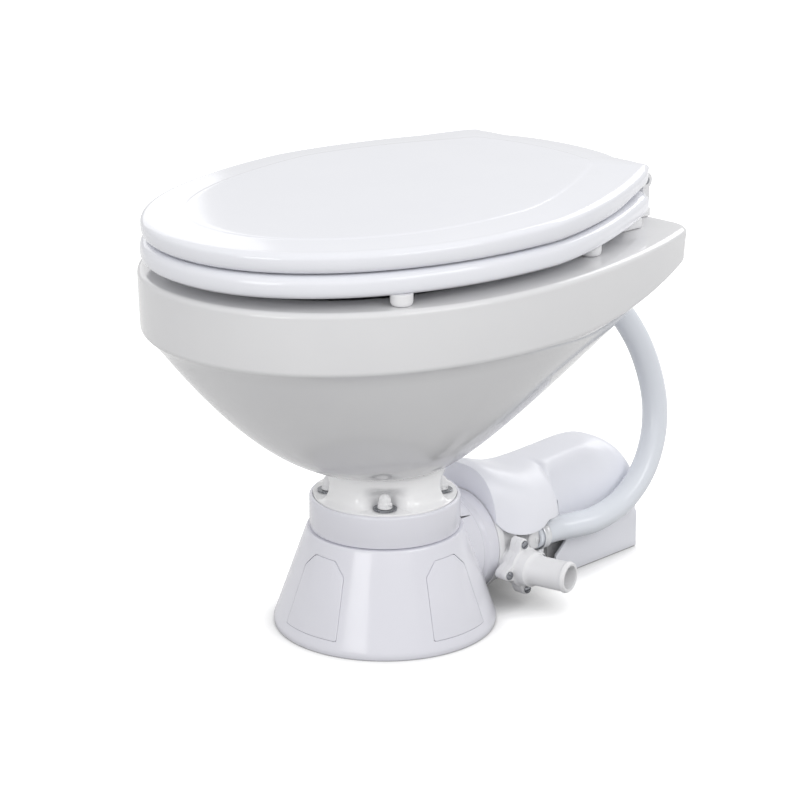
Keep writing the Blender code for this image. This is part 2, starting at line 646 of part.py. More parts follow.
def seat_and_lid():
    thick = SEAT_THICKNESS
    plan = seat_plan(0)
    middle = (SEAT_HOLE_REAR - SEAT_HOLE_FRONT) / 2
    reach = (SEAT_HOLE_REAR + SEAT_HOLE_FRONT) / 2
    turns = [math.atan2((y - middle) / (SEAT_FRONT + middle), x / SEAT_HALF_WIDTH) for x, y in plan]

    def hole(grow, z):
        return [((SEAT_HOLE_HALF_WIDTH + grow) * math.cos(turn), middle + (reach + grow) * math.sin(turn), z)
                for turn in turns]

    rings = [level(seat_plan(inset), SEAT_LOW_Z + height) for inset, height in (
        (thick * 0.30, 0), (thick * 0.08, thick * 0.14), (0, thick * 0.42), (thick * 0.08, thick * 0.74),
        (thick * 0.32, thick * 0.93), (thick * 0.8, thick))]
    rings += [hole(thick * 0.9, SEAT_LOW_Z + thick * 0.92), hole(thick * 0.25, SEAT_LOW_Z + thick * 0.72),
              hole(0, SEAT_LOW_Z + thick * 0.4), hole(thick * 0.12, SEAT_LOW_Z + thick * 0.1),
              hole(thick * 0.4, SEAT_LOW_Z)]
    seat = loft("seat", rings, "seat_white", closed=True)

    thick = LID_THICKNESS
    rings = [level(seat_plan(LID_INSET + inset), LID_LOW_Z + height) for inset, height in (
        (LID_BORDER, 0), (thick * 0.35, 0), (thick * 0.08, thick * 0.16), (0, thick * 0.40),
        (thick * 0.06, thick * 0.66), (thick * 0.28, thick * 0.86), (thick * 0.62, thick - LID_BORDER_DROP),
        (LID_BORDER, thick - LID_BORDER_DROP * 0.15), (LID_BORDER * 1.2, thick))]
    lid = loft("lid", rings, "seat_white")

    seat_edge, lid_edge = SEAT_REAR - thick / 2, SEAT_REAR - LID_INSET - thick / 2
    seat_ear_outer = POST_INNER_X - HINGE_CLEARANCE
    seat_ear_inner = seat_ear_outer - EAR_WIDTH
    lid_ear_outer = seat_ear_inner - HINGE_CLEARANCE
    lid_ear_inner = lid_ear_outer - EAR_WIDTH
    seat_mid_z = SEAT_LOW_Z + SEAT_THICKNESS / 2
    lid_mid_z = LID_LOW_Z + LID_THICKNESS / 2
    for side, word in ((-1, "right"), (1, "left")):
        def across(near, far):
            return sorted((side * near, side * far))
        low, high = across(seat_ear_inner, seat_ear_outer)
        join(seat, block(f"seat_ear_{word}", (low + GAP, seat_edge, seat_mid_z - HINGE_PIN_RADIUS),
                         (high - GAP, HINGE_Y + HINGE_PIN_RADIUS, HINGE_Z)),
             cylinder(f"seat_knuckle_{word}", HINGE_BARREL, low, high, (0, HINGE_Y, HINGE_Z), ALONG_X))
        low, high = across(lid_ear_inner, lid_ear_outer)
        join(lid, block(f"lid_ear_{word}", (low + GAP, lid_edge, HINGE_Z - HINGE_PIN_RADIUS),
                        (high - GAP, HINGE_Y, lid_mid_z - GAP)),
             cylinder(f"lid_knuckle_{word}", HINGE_BARREL, low, high, (0, HINGE_Y, HINGE_Z), ALONG_X))
        low, high = across(lid_ear_inner - 2 * GAP, POST_OUTER_X + 2 * GAP)
        for piece in (seat, lid):
            cut(piece, cylinder(f"pin_way_{word}", HINGE_PIN_BORE, low - GAP, high + GAP, (0, HINGE_Y, HINGE_Z),
                                ALONG_X, sides=PIN_SIDES))
        cylinder(f"hinge_pin_{word}", HINGE_PIN_RADIUS, low, high, (0, HINGE_Y, HINGE_Z), ALONG_X, "steel",
                 sides=PIN_SIDES)

        plate_low = RIM_Z + GAP
        plate_high = plate_low + HINGE_ARM
        low, high = across(POST_INNER_X, HINGE_PLATE_OUTER_X)
        hinge = block(f"hinge_block_{word}", (low, HINGE_PLATE_FRONT_Y, plate_low),
                      (high, HINGE_PLATE_REAR_Y, plate_high), "nylon")
        low, high = across(POST_INNER_X, POST_OUTER_X)
        join(hinge,
             block(f"hinge_arm_{word}", (low + GAP, HINGE_PLATE_REAR_Y - HINGE_BARREL, plate_low),
                   (high - GAP, HINGE_Y + HINGE_STEM / 2, plate_high - HINGE_ARM / 8)),
             block(f"hinge_stem_{word}", (low + GAP, HINGE_Y - HINGE_STEM / 2, plate_low + HINGE_ARM / 8),
                   (high - GAP, HINGE_Y + HINGE_STEM / 2, HINGE_Z)),
             cylinder(f"hinge_post_{word}", HINGE_BARREL, low, high, (0, HINGE_Y, HINGE_Z), ALONG_X))
        place_at = (side * HINGE_BOLT_X, HINGE_BOLT_Y, 0)
        head_high = plate_high - HINGE_CLEARANCE
        head_low = plate_high - HINGE_BOLT_HEAD
        cut(hinge, cylinder(f"post_bore_{word}", HINGE_PIN_BORE, low - GAP, high + GAP, (0, HINGE_Y, HINGE_Z), ALONG_X,
                            sides=PIN_SIDES),
            cylinder(f"plate_bore_{word}", HINGE_BOLT_RADIUS + GAP, RIM_Z - OVERRUN, plate_high, place_at,
                     sides=PIN_SIDES),
            cylinder(f"plate_sink_{word}", HINGE_BOLT_HEAD + GAP, head_low - GAP, plate_high + OVERRUN, place_at,
                     sides=PIN_SIDES))
        under = RIM_Z - DECK_THICKNESS
        shank_low = under - 2 * HINGE_NUT_HEIGHT
        turned(f"hinge_bolt_{word}", [(0, head_high), (HINGE_BOLT_HEAD, head_high), (HINGE_BOLT_HEAD, head_low),
                                      (HINGE_BOLT_RADIUS, head_low), (HINGE_BOLT_RADIUS, shank_low),
                                      (0, shank_low)],
               place_at, finish="nylon", sides=PIN_SIDES)
        nut_high = under - GAP
        turned(f"hinge_nut_{word}", [(HINGE_BOLT_RADIUS + GAP, nut_high), (HINGE_NUT_RADIUS, nut_high),
                                     (HINGE_NUT_RADIUS, nut_high - HINGE_NUT_HEIGHT * 0.3),
                                     (HINGE_NUT_RADIUS * 0.7, nut_high - HINGE_NUT_HEIGHT * 0.4),
                                     (HINGE_NUT_RADIUS * 0.7, nut_high - HINGE_NUT_HEIGHT),
                                     (HINGE_BOLT_RADIUS + GAP, nut_high - HINGE_NUT_HEIGHT)],
               place_at, finish="nylon", sides=PIN_SIDES, ring=True)

    for name, x_share, y in (("front_left", 1, -SEAT_FRONT * 0.52), ("front_right", -1, -SEAT_FRONT * 0.52),
                             ("rear_left", 1, SEAT_REAR * 0.45), ("rear_right", -1, SEAT_REAR * 0.45)):
        x = x_share * (SEAT_HALF_WIDTH * 0.85 if y > 0 else SEAT_HALF_WIDTH * 0.79)
        low, high = RIM_Z + GAP, SEAT_LOW_Z - GAP
        turned(f"seat_bumper_{name}", [(0, high), (BUMPER_RADIUS, high), (BUMPER_RADIUS, low + BUMPER_RADIUS / 3),
                                       (BUMPER_RADIUS * 0.8, low), (0, low)],
               (x, y, 0), finish="nylon", sides=PIN_SIDES)
    for side, word in ((-1, "right"), (1, "left")):
        low, high = SEAT_LOW_Z + SEAT_THICKNESS + GAP, LID_LOW_Z - GAP
        turned(f"lid_bumper_{word}", [(0, high), (LID_BUMPER_RADIUS, high), (LID_BUMPER_RADIUS, low),
                                      (0, low)],
               (side * SEAT_HALF_WIDTH * 0.76, -SEAT_FRONT * 0.22, 0), finish="nylon", sides=PIN_SIDES)


def flange_ears():
    """The places of the discharge flange's four ears, along +Y and up from its middle."""
    return [(FLANGE_SCREW_CIRCLE * math.cos(turn), FLANGE_SCREW_CIRCLE * math.sin(turn))
            for turn in (FLANGE_TILT + math.radians(90 * i) for i in range(4))]


def flange_plate(name, low, high, finish=None):
    """A plate facing +X with an ear for each screw."""
    centre = (0, DISCHARGE_Y, DISCHARGE_Z)
    plate = cylinder(name, FLANGE_CORE_RADIUS, low, high, centre, ALONG_X, finish)
    for i, (along, up) in enumerate(flange_ears()):
        at = (0, DISCHARGE_Y + along, DISCHARGE_Z + up)
        ear = cylinder(f"{name}_ear_{i}", FLANGE_EAR_RADIUS, low, high, at, ALONG_X, sides=PIN_SIDES)
        join(plate, ear)
    return plate


def waste_pump():
    front, rear = DRUM_REAR_Y + GAP, HOUSING_REAR_Y
    inner = DRUM_RADIUS - DRUM_WALL
    body_radius = inner + HOUSING_WALL * 0.6
    bore = SHAFT_RADIUS + RUNNING / 2
    seal_radius = SHAFT_RADIUS * 2.6
    seal_front = rear - HOUSING_WALL * 0.6
    axis = (0, 0, SHAFT_Z)
    housing = turned("macerator_housing", [
        (seal_radius + GAP, rear), (body_radius - HOUSING_WALL, rear), (body_radius, rear - HOUSING_WALL),
        (body_radius, front + 2 * HOUSING_WALL), (DRUM_RADIUS, front + 1.4 * HOUSING_WALL),
        (DRUM_RADIUS, front), (inner, front), (inner - HOUSING_WALL / 2, rear - 1.5 * HOUSING_WALL),
        (bore, rear - 1.5 * HOUSING_WALL), (bore, seal_front - GAP), (seal_radius + GAP, seal_front - GAP)],
        axis, ALONG_Y, "nylon", sides=DRUM_SIDES, ring=True)
    boss = cylinder("discharge_boss", ELBOW_ROOT_RADIUS, RINSE_RADIUS + HOUSING_WALL, PAD_X - FLANGE_THICKNESS / 2,
                    (0, DISCHARGE_Y, DISCHARGE_Z), ALONG_X)
    pad = flange_plate("discharge_pad", PAD_X - FLANGE_THICKNESS, PAD_X)
    chamber = cylinder("pump_chamber", inner - HOUSING_WALL / 2, front - OVERRUN, rear - 1.6 * HOUSING_WALL,
                       axis, ALONG_Y, sides=DRUM_SIDES)
    way_out = cylinder("discharge_way", DISCHARGE_BORE, inner / 2, PAD_X + OVERRUN,
                       (0, DISCHARGE_Y, DISCHARGE_Z), ALONG_X)
    join(housing, boss, pad)
    cut(housing, chamber, way_out)

    turned("shaft_seal", [(bore, rear), (seal_radius, rear), (seal_radius, seal_front), (bore, seal_front)],
           axis, ALONG_Y, "rubber", ring=True)

    valve_radius = DISCHARGE_BORE - GAP
    valve_low = PAD_X - FLANGE_THICKNESS
    turned("joker_valve", [(valve_radius * 0.8, PAD_X - GAP), (valve_radius, PAD_X - GAP), (valve_radius, valve_low),
                           (valve_radius * 0.35, valve_low - valve_radius),
                           (valve_radius * 0.15, valve_low - valve_radius),
                           (valve_radius * 0.8, valve_low + valve_radius / 4)],
           (0, DISCHARGE_Y, DISCHARGE_Z), ALONG_X, "rubber", ring=True)

    low = PAD_X + GAP
    high = low + FLANGE_THICKNESS
    elbow = flange_plate("discharge_elbow", low, high, "nylon")
    centre = Vector((0, DISCHARGE_Y, DISCHARGE_Z))
    root = cylinder("elbow_root", ELBOW_ROOT_RADIUS, low + FLANGE_THICKNESS / 2, high + ELBOW_ROOT_LENGTH, centre,
                    ALONG_X)
    knee = centre + Vector((high + ELBOW_ROOT_LENGTH - ELBOW_RADIUS * math.sin(ELBOW_TURN), 0, 0))
    turn = Matrix.Rotation(ELBOW_TURN, 4, "Z") @ Matrix.Rotation(math.pi / 2, 4, "Y")
    end = ELBOW_LENGTH
    stub = turned("elbow_stub", [(0, end), (ELBOW_RADIUS - ELBOW_LIP, end), (ELBOW_RADIUS + ELBOW_LIP, end - 3 * ELBOW_LIP),
                                 (ELBOW_RADIUS + ELBOW_LIP, end - 6 * ELBOW_LIP),
                                 (ELBOW_RADIUS, end - 7 * ELBOW_LIP), (ELBOW_RADIUS, -ELBOW_ROOT_LENGTH / 2),
                                 (0, -ELBOW_ROOT_LENGTH / 2)], knee, turn.to_euler())
    join(elbow, root, stub)
    cut(elbow, cylinder("elbow_way_in", ELBOW_BORE, low - OVERRUN, high + ELBOW_ROOT_LENGTH * 0.8, centre, ALONG_X),
        cylinder("elbow_way_out", ELBOW_BORE, -ELBOW_ROOT_LENGTH * 0.4, end + OVERRUN, knee, turn.to_euler()))
    for i, (along, up) in enumerate(flange_ears(), 1):
        at = (0, DISCHARGE_Y + along, DISCHARGE_Z + up)
        depth = FLANGE_THICKNESS * 0.75
        cut(elbow, cylinder("screw_clearance", SCREW_RADIUS + GAP, low - OVERRUN, high + OVERRUN, at, ALONG_X,
                            sides=PIN_SIDES))
        cut(housing, cylinder("screw_hole", SCREW_RADIUS + GAP, PAD_X - depth - GAP, PAD_X + OVERRUN, at, ALONG_X,
                              sides=PIN_SIDES))
        head = high + GAP
        screw = turned(f"discharge_screw_{i}", [
            (0, head + SCREW_HEAD_HEIGHT), (SCREW_HEAD_RADIUS * 0.7, head + SCREW_HEAD_HEIGHT),
            (SCREW_HEAD_RADIUS, head + SCREW_HEAD_HEIGHT * 0.4), (SCREW_HEAD_RADIUS, head),
            (SCREW_RADIUS, head), (SCREW_RADIUS, PAD_X - depth), (0, PAD_X - depth)],
            at, ALONG_X, "steel", sides=PIN_SIDES)
        slot = block(f"screw_slot_{i}", (head + SCREW_HEAD_HEIGHT * 0.5, -SCREW_HEAD_RADIUS, -SCREW_HEAD_HEIGHT / 6),
                     (head + 2 * SCREW_HEAD_HEIGHT, SCREW_HEAD_RADIUS, SCREW_HEAD_HEIGHT / 6))
        slot.location = at
        slot.rotation_euler = (math.radians(50 * i), 0, 0)
        cut(screw, slot)


def rotor():
    """The shaft with everything that turns on it."""
    axis = (0, 0, SHAFT_Z)
    shaft_end = RINSE_REAR_Y + 3 * SHAFT_RADIUS
    turned("motor_shaft", [(0, shaft_end), (SHAFT_RADIUS, shaft_end), (SHAFT_RADIUS, SHAFT_FRONT_Y + SHAFT_RADIUS / 2),
                           (SHAFT_RADIUS / 2, SHAFT_FRONT_Y), (0, SHAFT_FRONT_Y)], axis, ALONG_Y, "steel")
    hub_bore = SHAFT_RADIUS + GAP
    blade_y = DRUM_REAR_Y - 5 * BLADE_THICKNESS
    blade = block("macerator_blade", (-BLADE_RADIUS, blade_y, SHAFT_Z - 2 * SHAFT_RADIUS),
                  (BLADE_RADIUS, blade_y + BLADE_THICKNESS, SHAFT_Z + 2 * SHAFT_RADIUS), "steel")
    for side in (-1, 1):
        tip = block("blade_bevel", (-BLADE_RADIUS / 2 - OVERRUN, -OVERRUN, -BLADE_THICKNESS),
                    (BLADE_RADIUS / 2, BLADE_THICKNESS * 2 + OVERRUN, BLADE_THICKNESS))
        tip.location = (side * BLADE_RADIUS * 0.7, blade_y - BLADE_THICKNESS / 2,
                        SHAFT_Z + side * (2 * SHAFT_RADIUS + BLADE_THICKNESS * 0.2))
        tip.rotation_euler = (0, math.radians(12), 0)
        cut(blade, tip)
    blade_hub = cylinder("blade_hub", 1.8 * SHAFT_RADIUS, blade_y - BLADE_THICKNESS, blade_y + 2 * BLADE_THICKNESS,
                         axis, ALONG_Y)
    join(blade, blade_hub)
    cut(blade, cylinder("blade_bore", hub_bore, blade_y - 2 * BLADE_THICKNESS, blade_y + 3 * BLADE_THICKNESS, axis,
                        ALONG_Y))

    front = DRUM_REAR_Y + HOUSING_WALL
    back = front + IMPELLER_WIDTH
    disc = cylinder("macerator_impeller", IMPELLER_RADIUS, back - BLADE_THICKNESS, back, axis, ALONG_Y, "nylon")
    join(disc, cylinder("impeller_hub", 2.2 * SHAFT_RADIUS, front, back, axis, ALONG_Y))
    for i in range(VANES):
        vane = block(f"impeller_vane_{i}", (SHAFT_RADIUS * 1.5, front + RUNNING, -BLADE_THICKNESS / 3),
                     (IMPELLER_RADIUS, back - BLADE_THICKNESS / 2, BLADE_THICKNESS / 3))
        vane.location = (0, 0, SHAFT_Z)
        vane.rotation_euler = (0, 2 * math.pi * i / VANES, 0)
        join(disc, vane)
    cut(disc, cylinder("impeller_bore", hub_bore, front - OVERRUN, back + OVERRUN, axis, ALONG_Y))

    front = HOUSING_REAR_Y + HOUSING_WALL + RUNNING
    back = RINSE_REAR_Y - RUNNING
    wheel = cylinder("rinse_impeller", RINSE_HUB, front, back, axis, ALONG_Y, "rubber")
    for i in range(RINSE_VANES):
        vane = block(f"rinse_vane_{i}", (RINSE_HUB / 2, front + RUNNING / 2, -BLADE_THICKNESS / 3),
                     (RINSE_BORE - RUNNING, back - RUNNING / 2, BLADE_THICKNESS / 3))
        vane.location = (0, 0, SHAFT_Z)
        vane.rotation_euler = (0, 2 * math.pi * (i + 0.5) / RINSE_VANES, 0)
        join(wheel, vane)
    cut(wheel, cylinder("wheel_bore", hub_bore, front - OVERRUN, back + OVERRUN, axis, ALONG_Y))


def rinse_pump_and_motor():
    axis = (0, 0, SHAFT_Z)
    front, rear = HOUSING_REAR_Y + GAP, RINSE_REAR_Y
    wall_rear = HOUSING_REAR_Y + HOUSING_WALL
    bore = SHAFT_RADIUS + RUNNING / 2
    body = turned("rinse_pump_body", [(RINSE_BORE, rear), (RINSE_RADIUS, rear), (RINSE_RADIUS, front), (bore, front),
                                      (bore, wall_rear), (RINSE_BORE, wall_rear)],
                  axis, ALONG_Y, "pump_black", sides=DRUM_SIDES, ring=True)
    ports = (0, RINSE_Y, SHAFT_Z)
    port_radius = BARB_RADIUS * 1.12
    boss_x = RINSE_RADIUS + 0.05 * RINSE_RADIUS
    for side in (-1, 1):
        low, high = sorted((side * RINSE_BORE * 1.1, side * boss_x))
        join(body, cylinder("port_boss", port_radius, low, high, ports, ALONG_X))
    cut(body, cylinder("port_way", BARB_BORE, -boss_x - OVERRUN, boss_x + OVERRUN, ports, ALONG_X))

    elbow_low = boss_x + GAP
    elbow = cylinder("rinse_outlet_elbow", port_radius, elbow_low, RINSE_PORT_X + BARB_RADIUS * 0.9, ports,
                     ALONG_X, "nylon")
    at = (RINSE_PORT_X, 0, SHAFT_Z)
    barb_end = RINSE_Y + port_radius + BARB_LENGTH
    join(elbow, cylinder("outlet_barb", BARB_RADIUS, RINSE_Y - BARB_RADIUS * 0.2, barb_end, at, ALONG_Y))
    cut(elbow, cylinder("elbow_port", BARB_BORE, elbow_low - OVERRUN, RINSE_PORT_X, ports, ALONG_X),
        cylinder("barb_port", BARB_BORE, RINSE_Y - BARB_BORE * 0.3, barb_end + OVERRUN, at, ALONG_Y))

    inlet_low = boss_x + GAP
    lip = BARB_RADIUS * 0.06
    ridge = INLET_BARB_LENGTH / 5
    profile = [(BARB_BORE, inlet_low + INLET_BARB_LENGTH), (BARB_RADIUS - lip, inlet_low + INLET_BARB_LENGTH)]
    for i in range(2):
        top = inlet_low + INLET_BARB_LENGTH - i * ridge
        profile += [(BARB_RADIUS + lip, top - ridge * 0.8), (BARB_RADIUS - lip, top - ridge * 0.85)]
    profile += [(BARB_RADIUS - lip, inlet_low + ridge), (port_radius, inlet_low + ridge), (port_radius, inlet_low),
                (BARB_BORE, inlet_low)]
    turned("seawater_inlet", profile, ports, (0, -math.pi / 2, 0), "nylon", ring=True)

    motor_front = RINSE_REAR_Y + GAP
    socket = RINSE_REAR_Y + 4 * SHAFT_RADIUS
    motor = turned("motor_body", [(0, MOTOR_REAR_Y), (MOTOR_RADIUS, MOTOR_REAR_Y), (MOTOR_RADIUS, motor_front),
                                  (bore, motor_front), (bore, socket), (0, socket)],
                   axis, ALONG_Y, "painted_black", sides=DRUM_SIDES)
    cap_front = MOTOR_REAR_Y + GAP
    turned("motor_end_cap", [(0, END_CAP_REAR_Y), (MOTOR_RADIUS * 0.30, END_CAP_REAR_Y),
                             (MOTOR_RADIUS * 0.36, END_CAP_REAR_Y - MOTOR_RADIUS * 0.12),
                             (MOTOR_RADIUS * 0.88, END_CAP_REAR_Y - MOTOR_RADIUS * 0.16),
                             (MOTOR_RADIUS, END_CAP_REAR_Y - MOTOR_RADIUS * 0.30), (MOTOR_RADIUS, cap_front),
                             (0, cap_front)],
           axis, ALONG_Y, "painted_black", sides=DRUM_SIDES)
    cradle_half = MOTOR_RADIUS * 0.95
    run = MOTOR_REAR_Y - RINSE_REAR_Y
    cradle = block("motor_cradle", (-cradle_half, RINSE_REAR_Y + 0.25 * run, 0),
                   (cradle_half, RINSE_REAR_Y + 0.85 * run, MOTOR_SEAT_Z), "nylon")
    cut(cradle, cylinder("cradle_seat", MOTOR_RADIUS + GAP, RINSE_REAR_Y, MOTOR_REAR_Y, axis, ALONG_Y, sides=DRUM_SIDES))


HOSE_START = (0, SPUD_Y + SPUD_RADIUS * 0.3, SPUD_Z)
HOSE_END_Y = RINSE_Y + BARB_RADIUS * 1.25
HOSE_ROUTE = [
    HOSE_START, (0.0000, 0.2440, 0.2680), (0.0020, 0.2600, 0.2660), (0.0100, 0.2790, 0.2550),
    (0.0200, 0.2950, 0.2350), (0.0315, 0.3085, 0.2070), (0.0410, 0.3155, 0.1780), (0.0500, 0.3160, 0.1460),
    (0.0560, 0.3080, 0.1130), (0.0600, 0.2880, 0.0830), (0.0620, 0.2560, 0.0620), (0.0600, 0.2210, 0.0530),
    (0.0530, 0.1980, 0.0510), (0.0470, 0.1840, 0.0505), (RINSE_PORT_X, HOSE_END_Y + 0.014, SHAFT_Z),
    (RINSE_PORT_X, HOSE_END_Y, SHAFT_Z),
]


def smooth(route, step):
    """Points about a step apart on a smooth curve through a route's points."""
    knots = [Vector(point) for point in route]
    knots = [2 * knots[0] - knots[1], *knots, 2 * knots[-1] - knots[-2]]
    found = [knots[1]]
    for a, b, c, d in zip(knots, knots[1:], knots[2:], knots[3:]):
        count = max(1, round((c - b).length / step))
        for i in range(1, count + 1):
            t = i / count
            found.append(0.5 * (2 * b + (c - a) * t + (2 * a - 5 * b + 4 * c - d) * t ** 2
                                + (3 * b - a - 3 * c + d) * t ** 3))
    return found


def tube(name, points, radius, finish=None):
    curve = bpy.data.curves.new(name, "CURVE")
    curve.dimensions = "3D"
    curve.bevel_depth = radius
    curve.bevel_resolution = 2
    curve.use_fill_caps = True
    spline = curve.splines.new("POLY")
    spline.points.add(len(points) - 1)
    for point, place_at in zip(spline.points, points):
        point.co = (*place_at, 1)
    guide = bpy.data.objects.new(name, curve)
    bpy.context.scene.collection.objects.link(guide)
    bpy.context.view_layer.update()
    mesh = bpy.data.meshes.new_from_object(guide.evaluated_get(bpy.context.evaluated_depsgraph_get()))
    bpy.data.objects.remove(guide)
    bm = bmesh.new()
    bm.from_mesh(mesh)
    bmesh.ops.remove_doubles(bm, verts=bm.verts, dist=MERGE)
    return from_bmesh(name, bm, finish)


def hose():
    points = smooth(HOSE_ROUTE, HOSE_STEP)
    body = tube("rinse_hose", points, HOSE_RADIUS, "hose_white")
    first = points[0] + (points[0] - points[1]).normalized() * OVERRUN
    last = points[-1] + (points[-1] - points[-2]).normalized() * OVERRUN
    cut(body, tube("hose_bore", [first, *points, last], HOSE_BORE))

    neck = HOSE_RADIUS - GAP
    flange = SPUD_RADIUS * 0.82
    flange_low, flange_high = SPUD_Y + GAP, HOSE_START[1] - GAP
    turned("bowl_inlet", [(BARB_BORE, flange_high + BARB_LENGTH), (BARB_RADIUS, flange_high + BARB_LENGTH),
                          (BARB_RADIUS, flange_high), (flange, flange_high), (flange, flange_low),
                          (neck, flange_low), (neck, SPUD_Y - SPUD_RADIUS), (BARB_BORE, SPUD_Y - SPUD_RADIUS)],
           (0, 0, SPUD_Z), ALONG_Y, "nylon", ring=True)
    for name, end in (("upper", HOSE_START), ("lower", HOSE_ROUTE[-1])):
        low = end[1] + CLAMP_WIDTH * 0.3
        inner = HOSE_RADIUS * 1.06
        outer = inner + CLAMP_THICKNESS
        band = turned(f"hose_clamp_{name}", [(inner, low + CLAMP_WIDTH), (outer, low + CLAMP_WIDTH), (outer, low),
                                             (inner, low)], (end[0], 0, end[2]), ALONG_Y, "steel", ring=True)
        box_low = inner + CLAMP_THICKNESS / 2
        housing = block(f"clamp_screw_{name}", (-CLAMP_WIDTH / 2, low, -outer - CLAMP_WIDTH * 0.5),
                        (CLAMP_WIDTH / 2, low + CLAMP_WIDTH, -box_low))
        housing.location = (end[0], 0, end[2])
        join(band, housing)


HOOD_SPRING_Z = 0.0550  # where the hood's upright sides start to round over
HOOD_TOP_Z = 0.1250
NOSE_REACH = 0.0180     # how far the nose over the discharge stands out past the hood's side
HOOD_ARC_STEPS = 8
HOOD_POWER = 2.6
# Stations from front to rear: how far along the hood, how far out towards the nose's reach, how far out round
# the drum on the other side, and how high between the spring line and the top.
HOOD_SHARES = [
    (0.000, 0.08, 1.00, 0.985), (0.045, 0.31, 1.00, 1.000), (0.104, 0.64, 1.00, 0.950), (0.179, 0.94, 0.94, 0.880),
    (0.254, 1.01, 0.67, 0.820), (0.313, 0.79, 0.28, 0.800), (0.373, 0.19, 0.06, 0.793), (0.428, -0.39, 0.00, 0.793),
    (0.502, -0.46, 0.00, 0.796), (0.602, -0.49, 0.00, 0.806), (0.701, -0.36, 0.00, 0.818), (0.791, -0.11, 0.00, 0.824),
    (0.871, 0.01, 0.00, 0.800), (0.930, 0.01, 0.00, 0.725), (0.975, -0.03, -0.03, 0.600), (1.000, -0.11, -0.11, 0.450),
]
# The hood's lower edge over the discharge, towards the hose: how far along and how high
NOSE_EDGE_SHARES = [
    (-0.020, 0.656), (-0.002, 0.624), (0.025, 0.584), (0.065, 0.544), (0.124, 0.512), (0.184, 0.508), (0.224, 0.528),
    (0.254, 0.564), (0.488, 0.564), (0.488, 0.264), (0.418, 0.168),
]


def hood_solid(name, wall, finish=None):
    """The hood's outer form, or with a wall the space inside it."""
    rings = []
    length = HOOD_REAR_Y - HOOD_FRONT_Y
    drum_reach = DRUM_RADIUS + HOOD_WALL + HOOD_CLEARANCE - HOOD_SIDE_X
    for along, near_share, far_share, top_share in HOOD_SHARES:
        y = HOOD_FRONT_Y + wall + along * (length - 2 * wall)
        near = HOOD_SIDE_X + near_share * NOSE_REACH - wall
        far = HOOD_SIDE_X + far_share * drum_reach - wall
        top = HOOD_SPRING_Z + top_share * (HOOD_TOP_Z - HOOD_SPRING_Z) - wall
        foot = HOOD_SIDE_X - wall if near_share < 0.1 else near
        low = HOOD_FLOOR_Z - (OVERRUN if wall else 0)
        shelf = SHELF_Z - wall
        section = [(foot, low), (foot, shelf), (near, shelf + HOOD_WALL)]
        for k in range(HOOD_ARC_STEPS + 1):
            turn = math.pi / 2 * k / HOOD_ARC_STEPS
            section.append((near * math.cos(turn) ** (2 / HOOD_POWER),
                            HOOD_SPRING_Z + (top - HOOD_SPRING_Z) * math.sin(turn) ** (2 / HOOD_POWER)))
        for k in range(HOOD_ARC_STEPS - 1, -1, -1):
            turn = math.pi / 2 * k / HOOD_ARC_STEPS
            section.append((-far * math.cos(turn) ** (2 / HOOD_POWER),
                            HOOD_SPRING_Z + (top - HOOD_SPRING_Z) * math.sin(turn) ** (2 / HOOD_POWER)))
        section += [(-far, shelf), (-far, low)]
        rings.append([(x, y, z) for x, z in section])
    return loft(name, rings, finish)


def hood():
    cover = hood_solid("pump_cover", 0, "hood_white")
    cut(cover, hood_solid("hood_inside", HOOD_WALL))
    rear_of_front = HOOD_FRONT_Y + HOOD_WALL + OVERRUN
    cut(cover, cylinder("hood_arch", DRUM_RADIUS + GAP, HOOD_FRONT_Y - OVERRUN, rear_of_front, (0, 0, SHAFT_Z),
                        ALONG_Y, sides=DRUM_SIDES),
        block("hood_front_foot", (-DRUM_RADIUS * 0.7, HOOD_FRONT_Y - OVERRUN, -OVERRUN),
              (DRUM_RADIUS * 0.7, rear_of_front, SHAFT_Z)))
    length = HOOD_REAR_Y - HOOD_FRONT_Y
    edge = [(HOOD_FRONT_Y + along * length, up * HOOD_TOP_Z) for along, up in NOSE_EDGE_SHARES]
    edge += [(edge[-1][0], -OVERRUN), (edge[0][0], -OVERRUN)]
    stand = Matrix(((0, 0, 1, 0), (1, 0, 0, 0), (0, 1, 0, 0), (0, 0, 0, 1)))
    cut(cover, prism("nose_cut", edge, HOOD_SIDE_X * 0.3, 2 * HOOD_SIDE_X, stand))
    slot = BARB_RADIUS * 1.4
    cut(cover, block("inlet_slot", (-HOOD_SIDE_X * 1.3, RINSE_Y - slot, -OVERRUN),
                     (-HOOD_SIDE_X * 0.5, RINSE_Y + slot, SHAFT_Z + slot)))
    return cover


pedestal()
collar()
bowl()
bowl_fixings()
seat_and_lid()
waste_pump()
rotor()
rinse_pump_and_motor()
hose()
hood()
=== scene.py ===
import json
import math

import bmesh
import bpy
from mathutils import Matrix, Vector


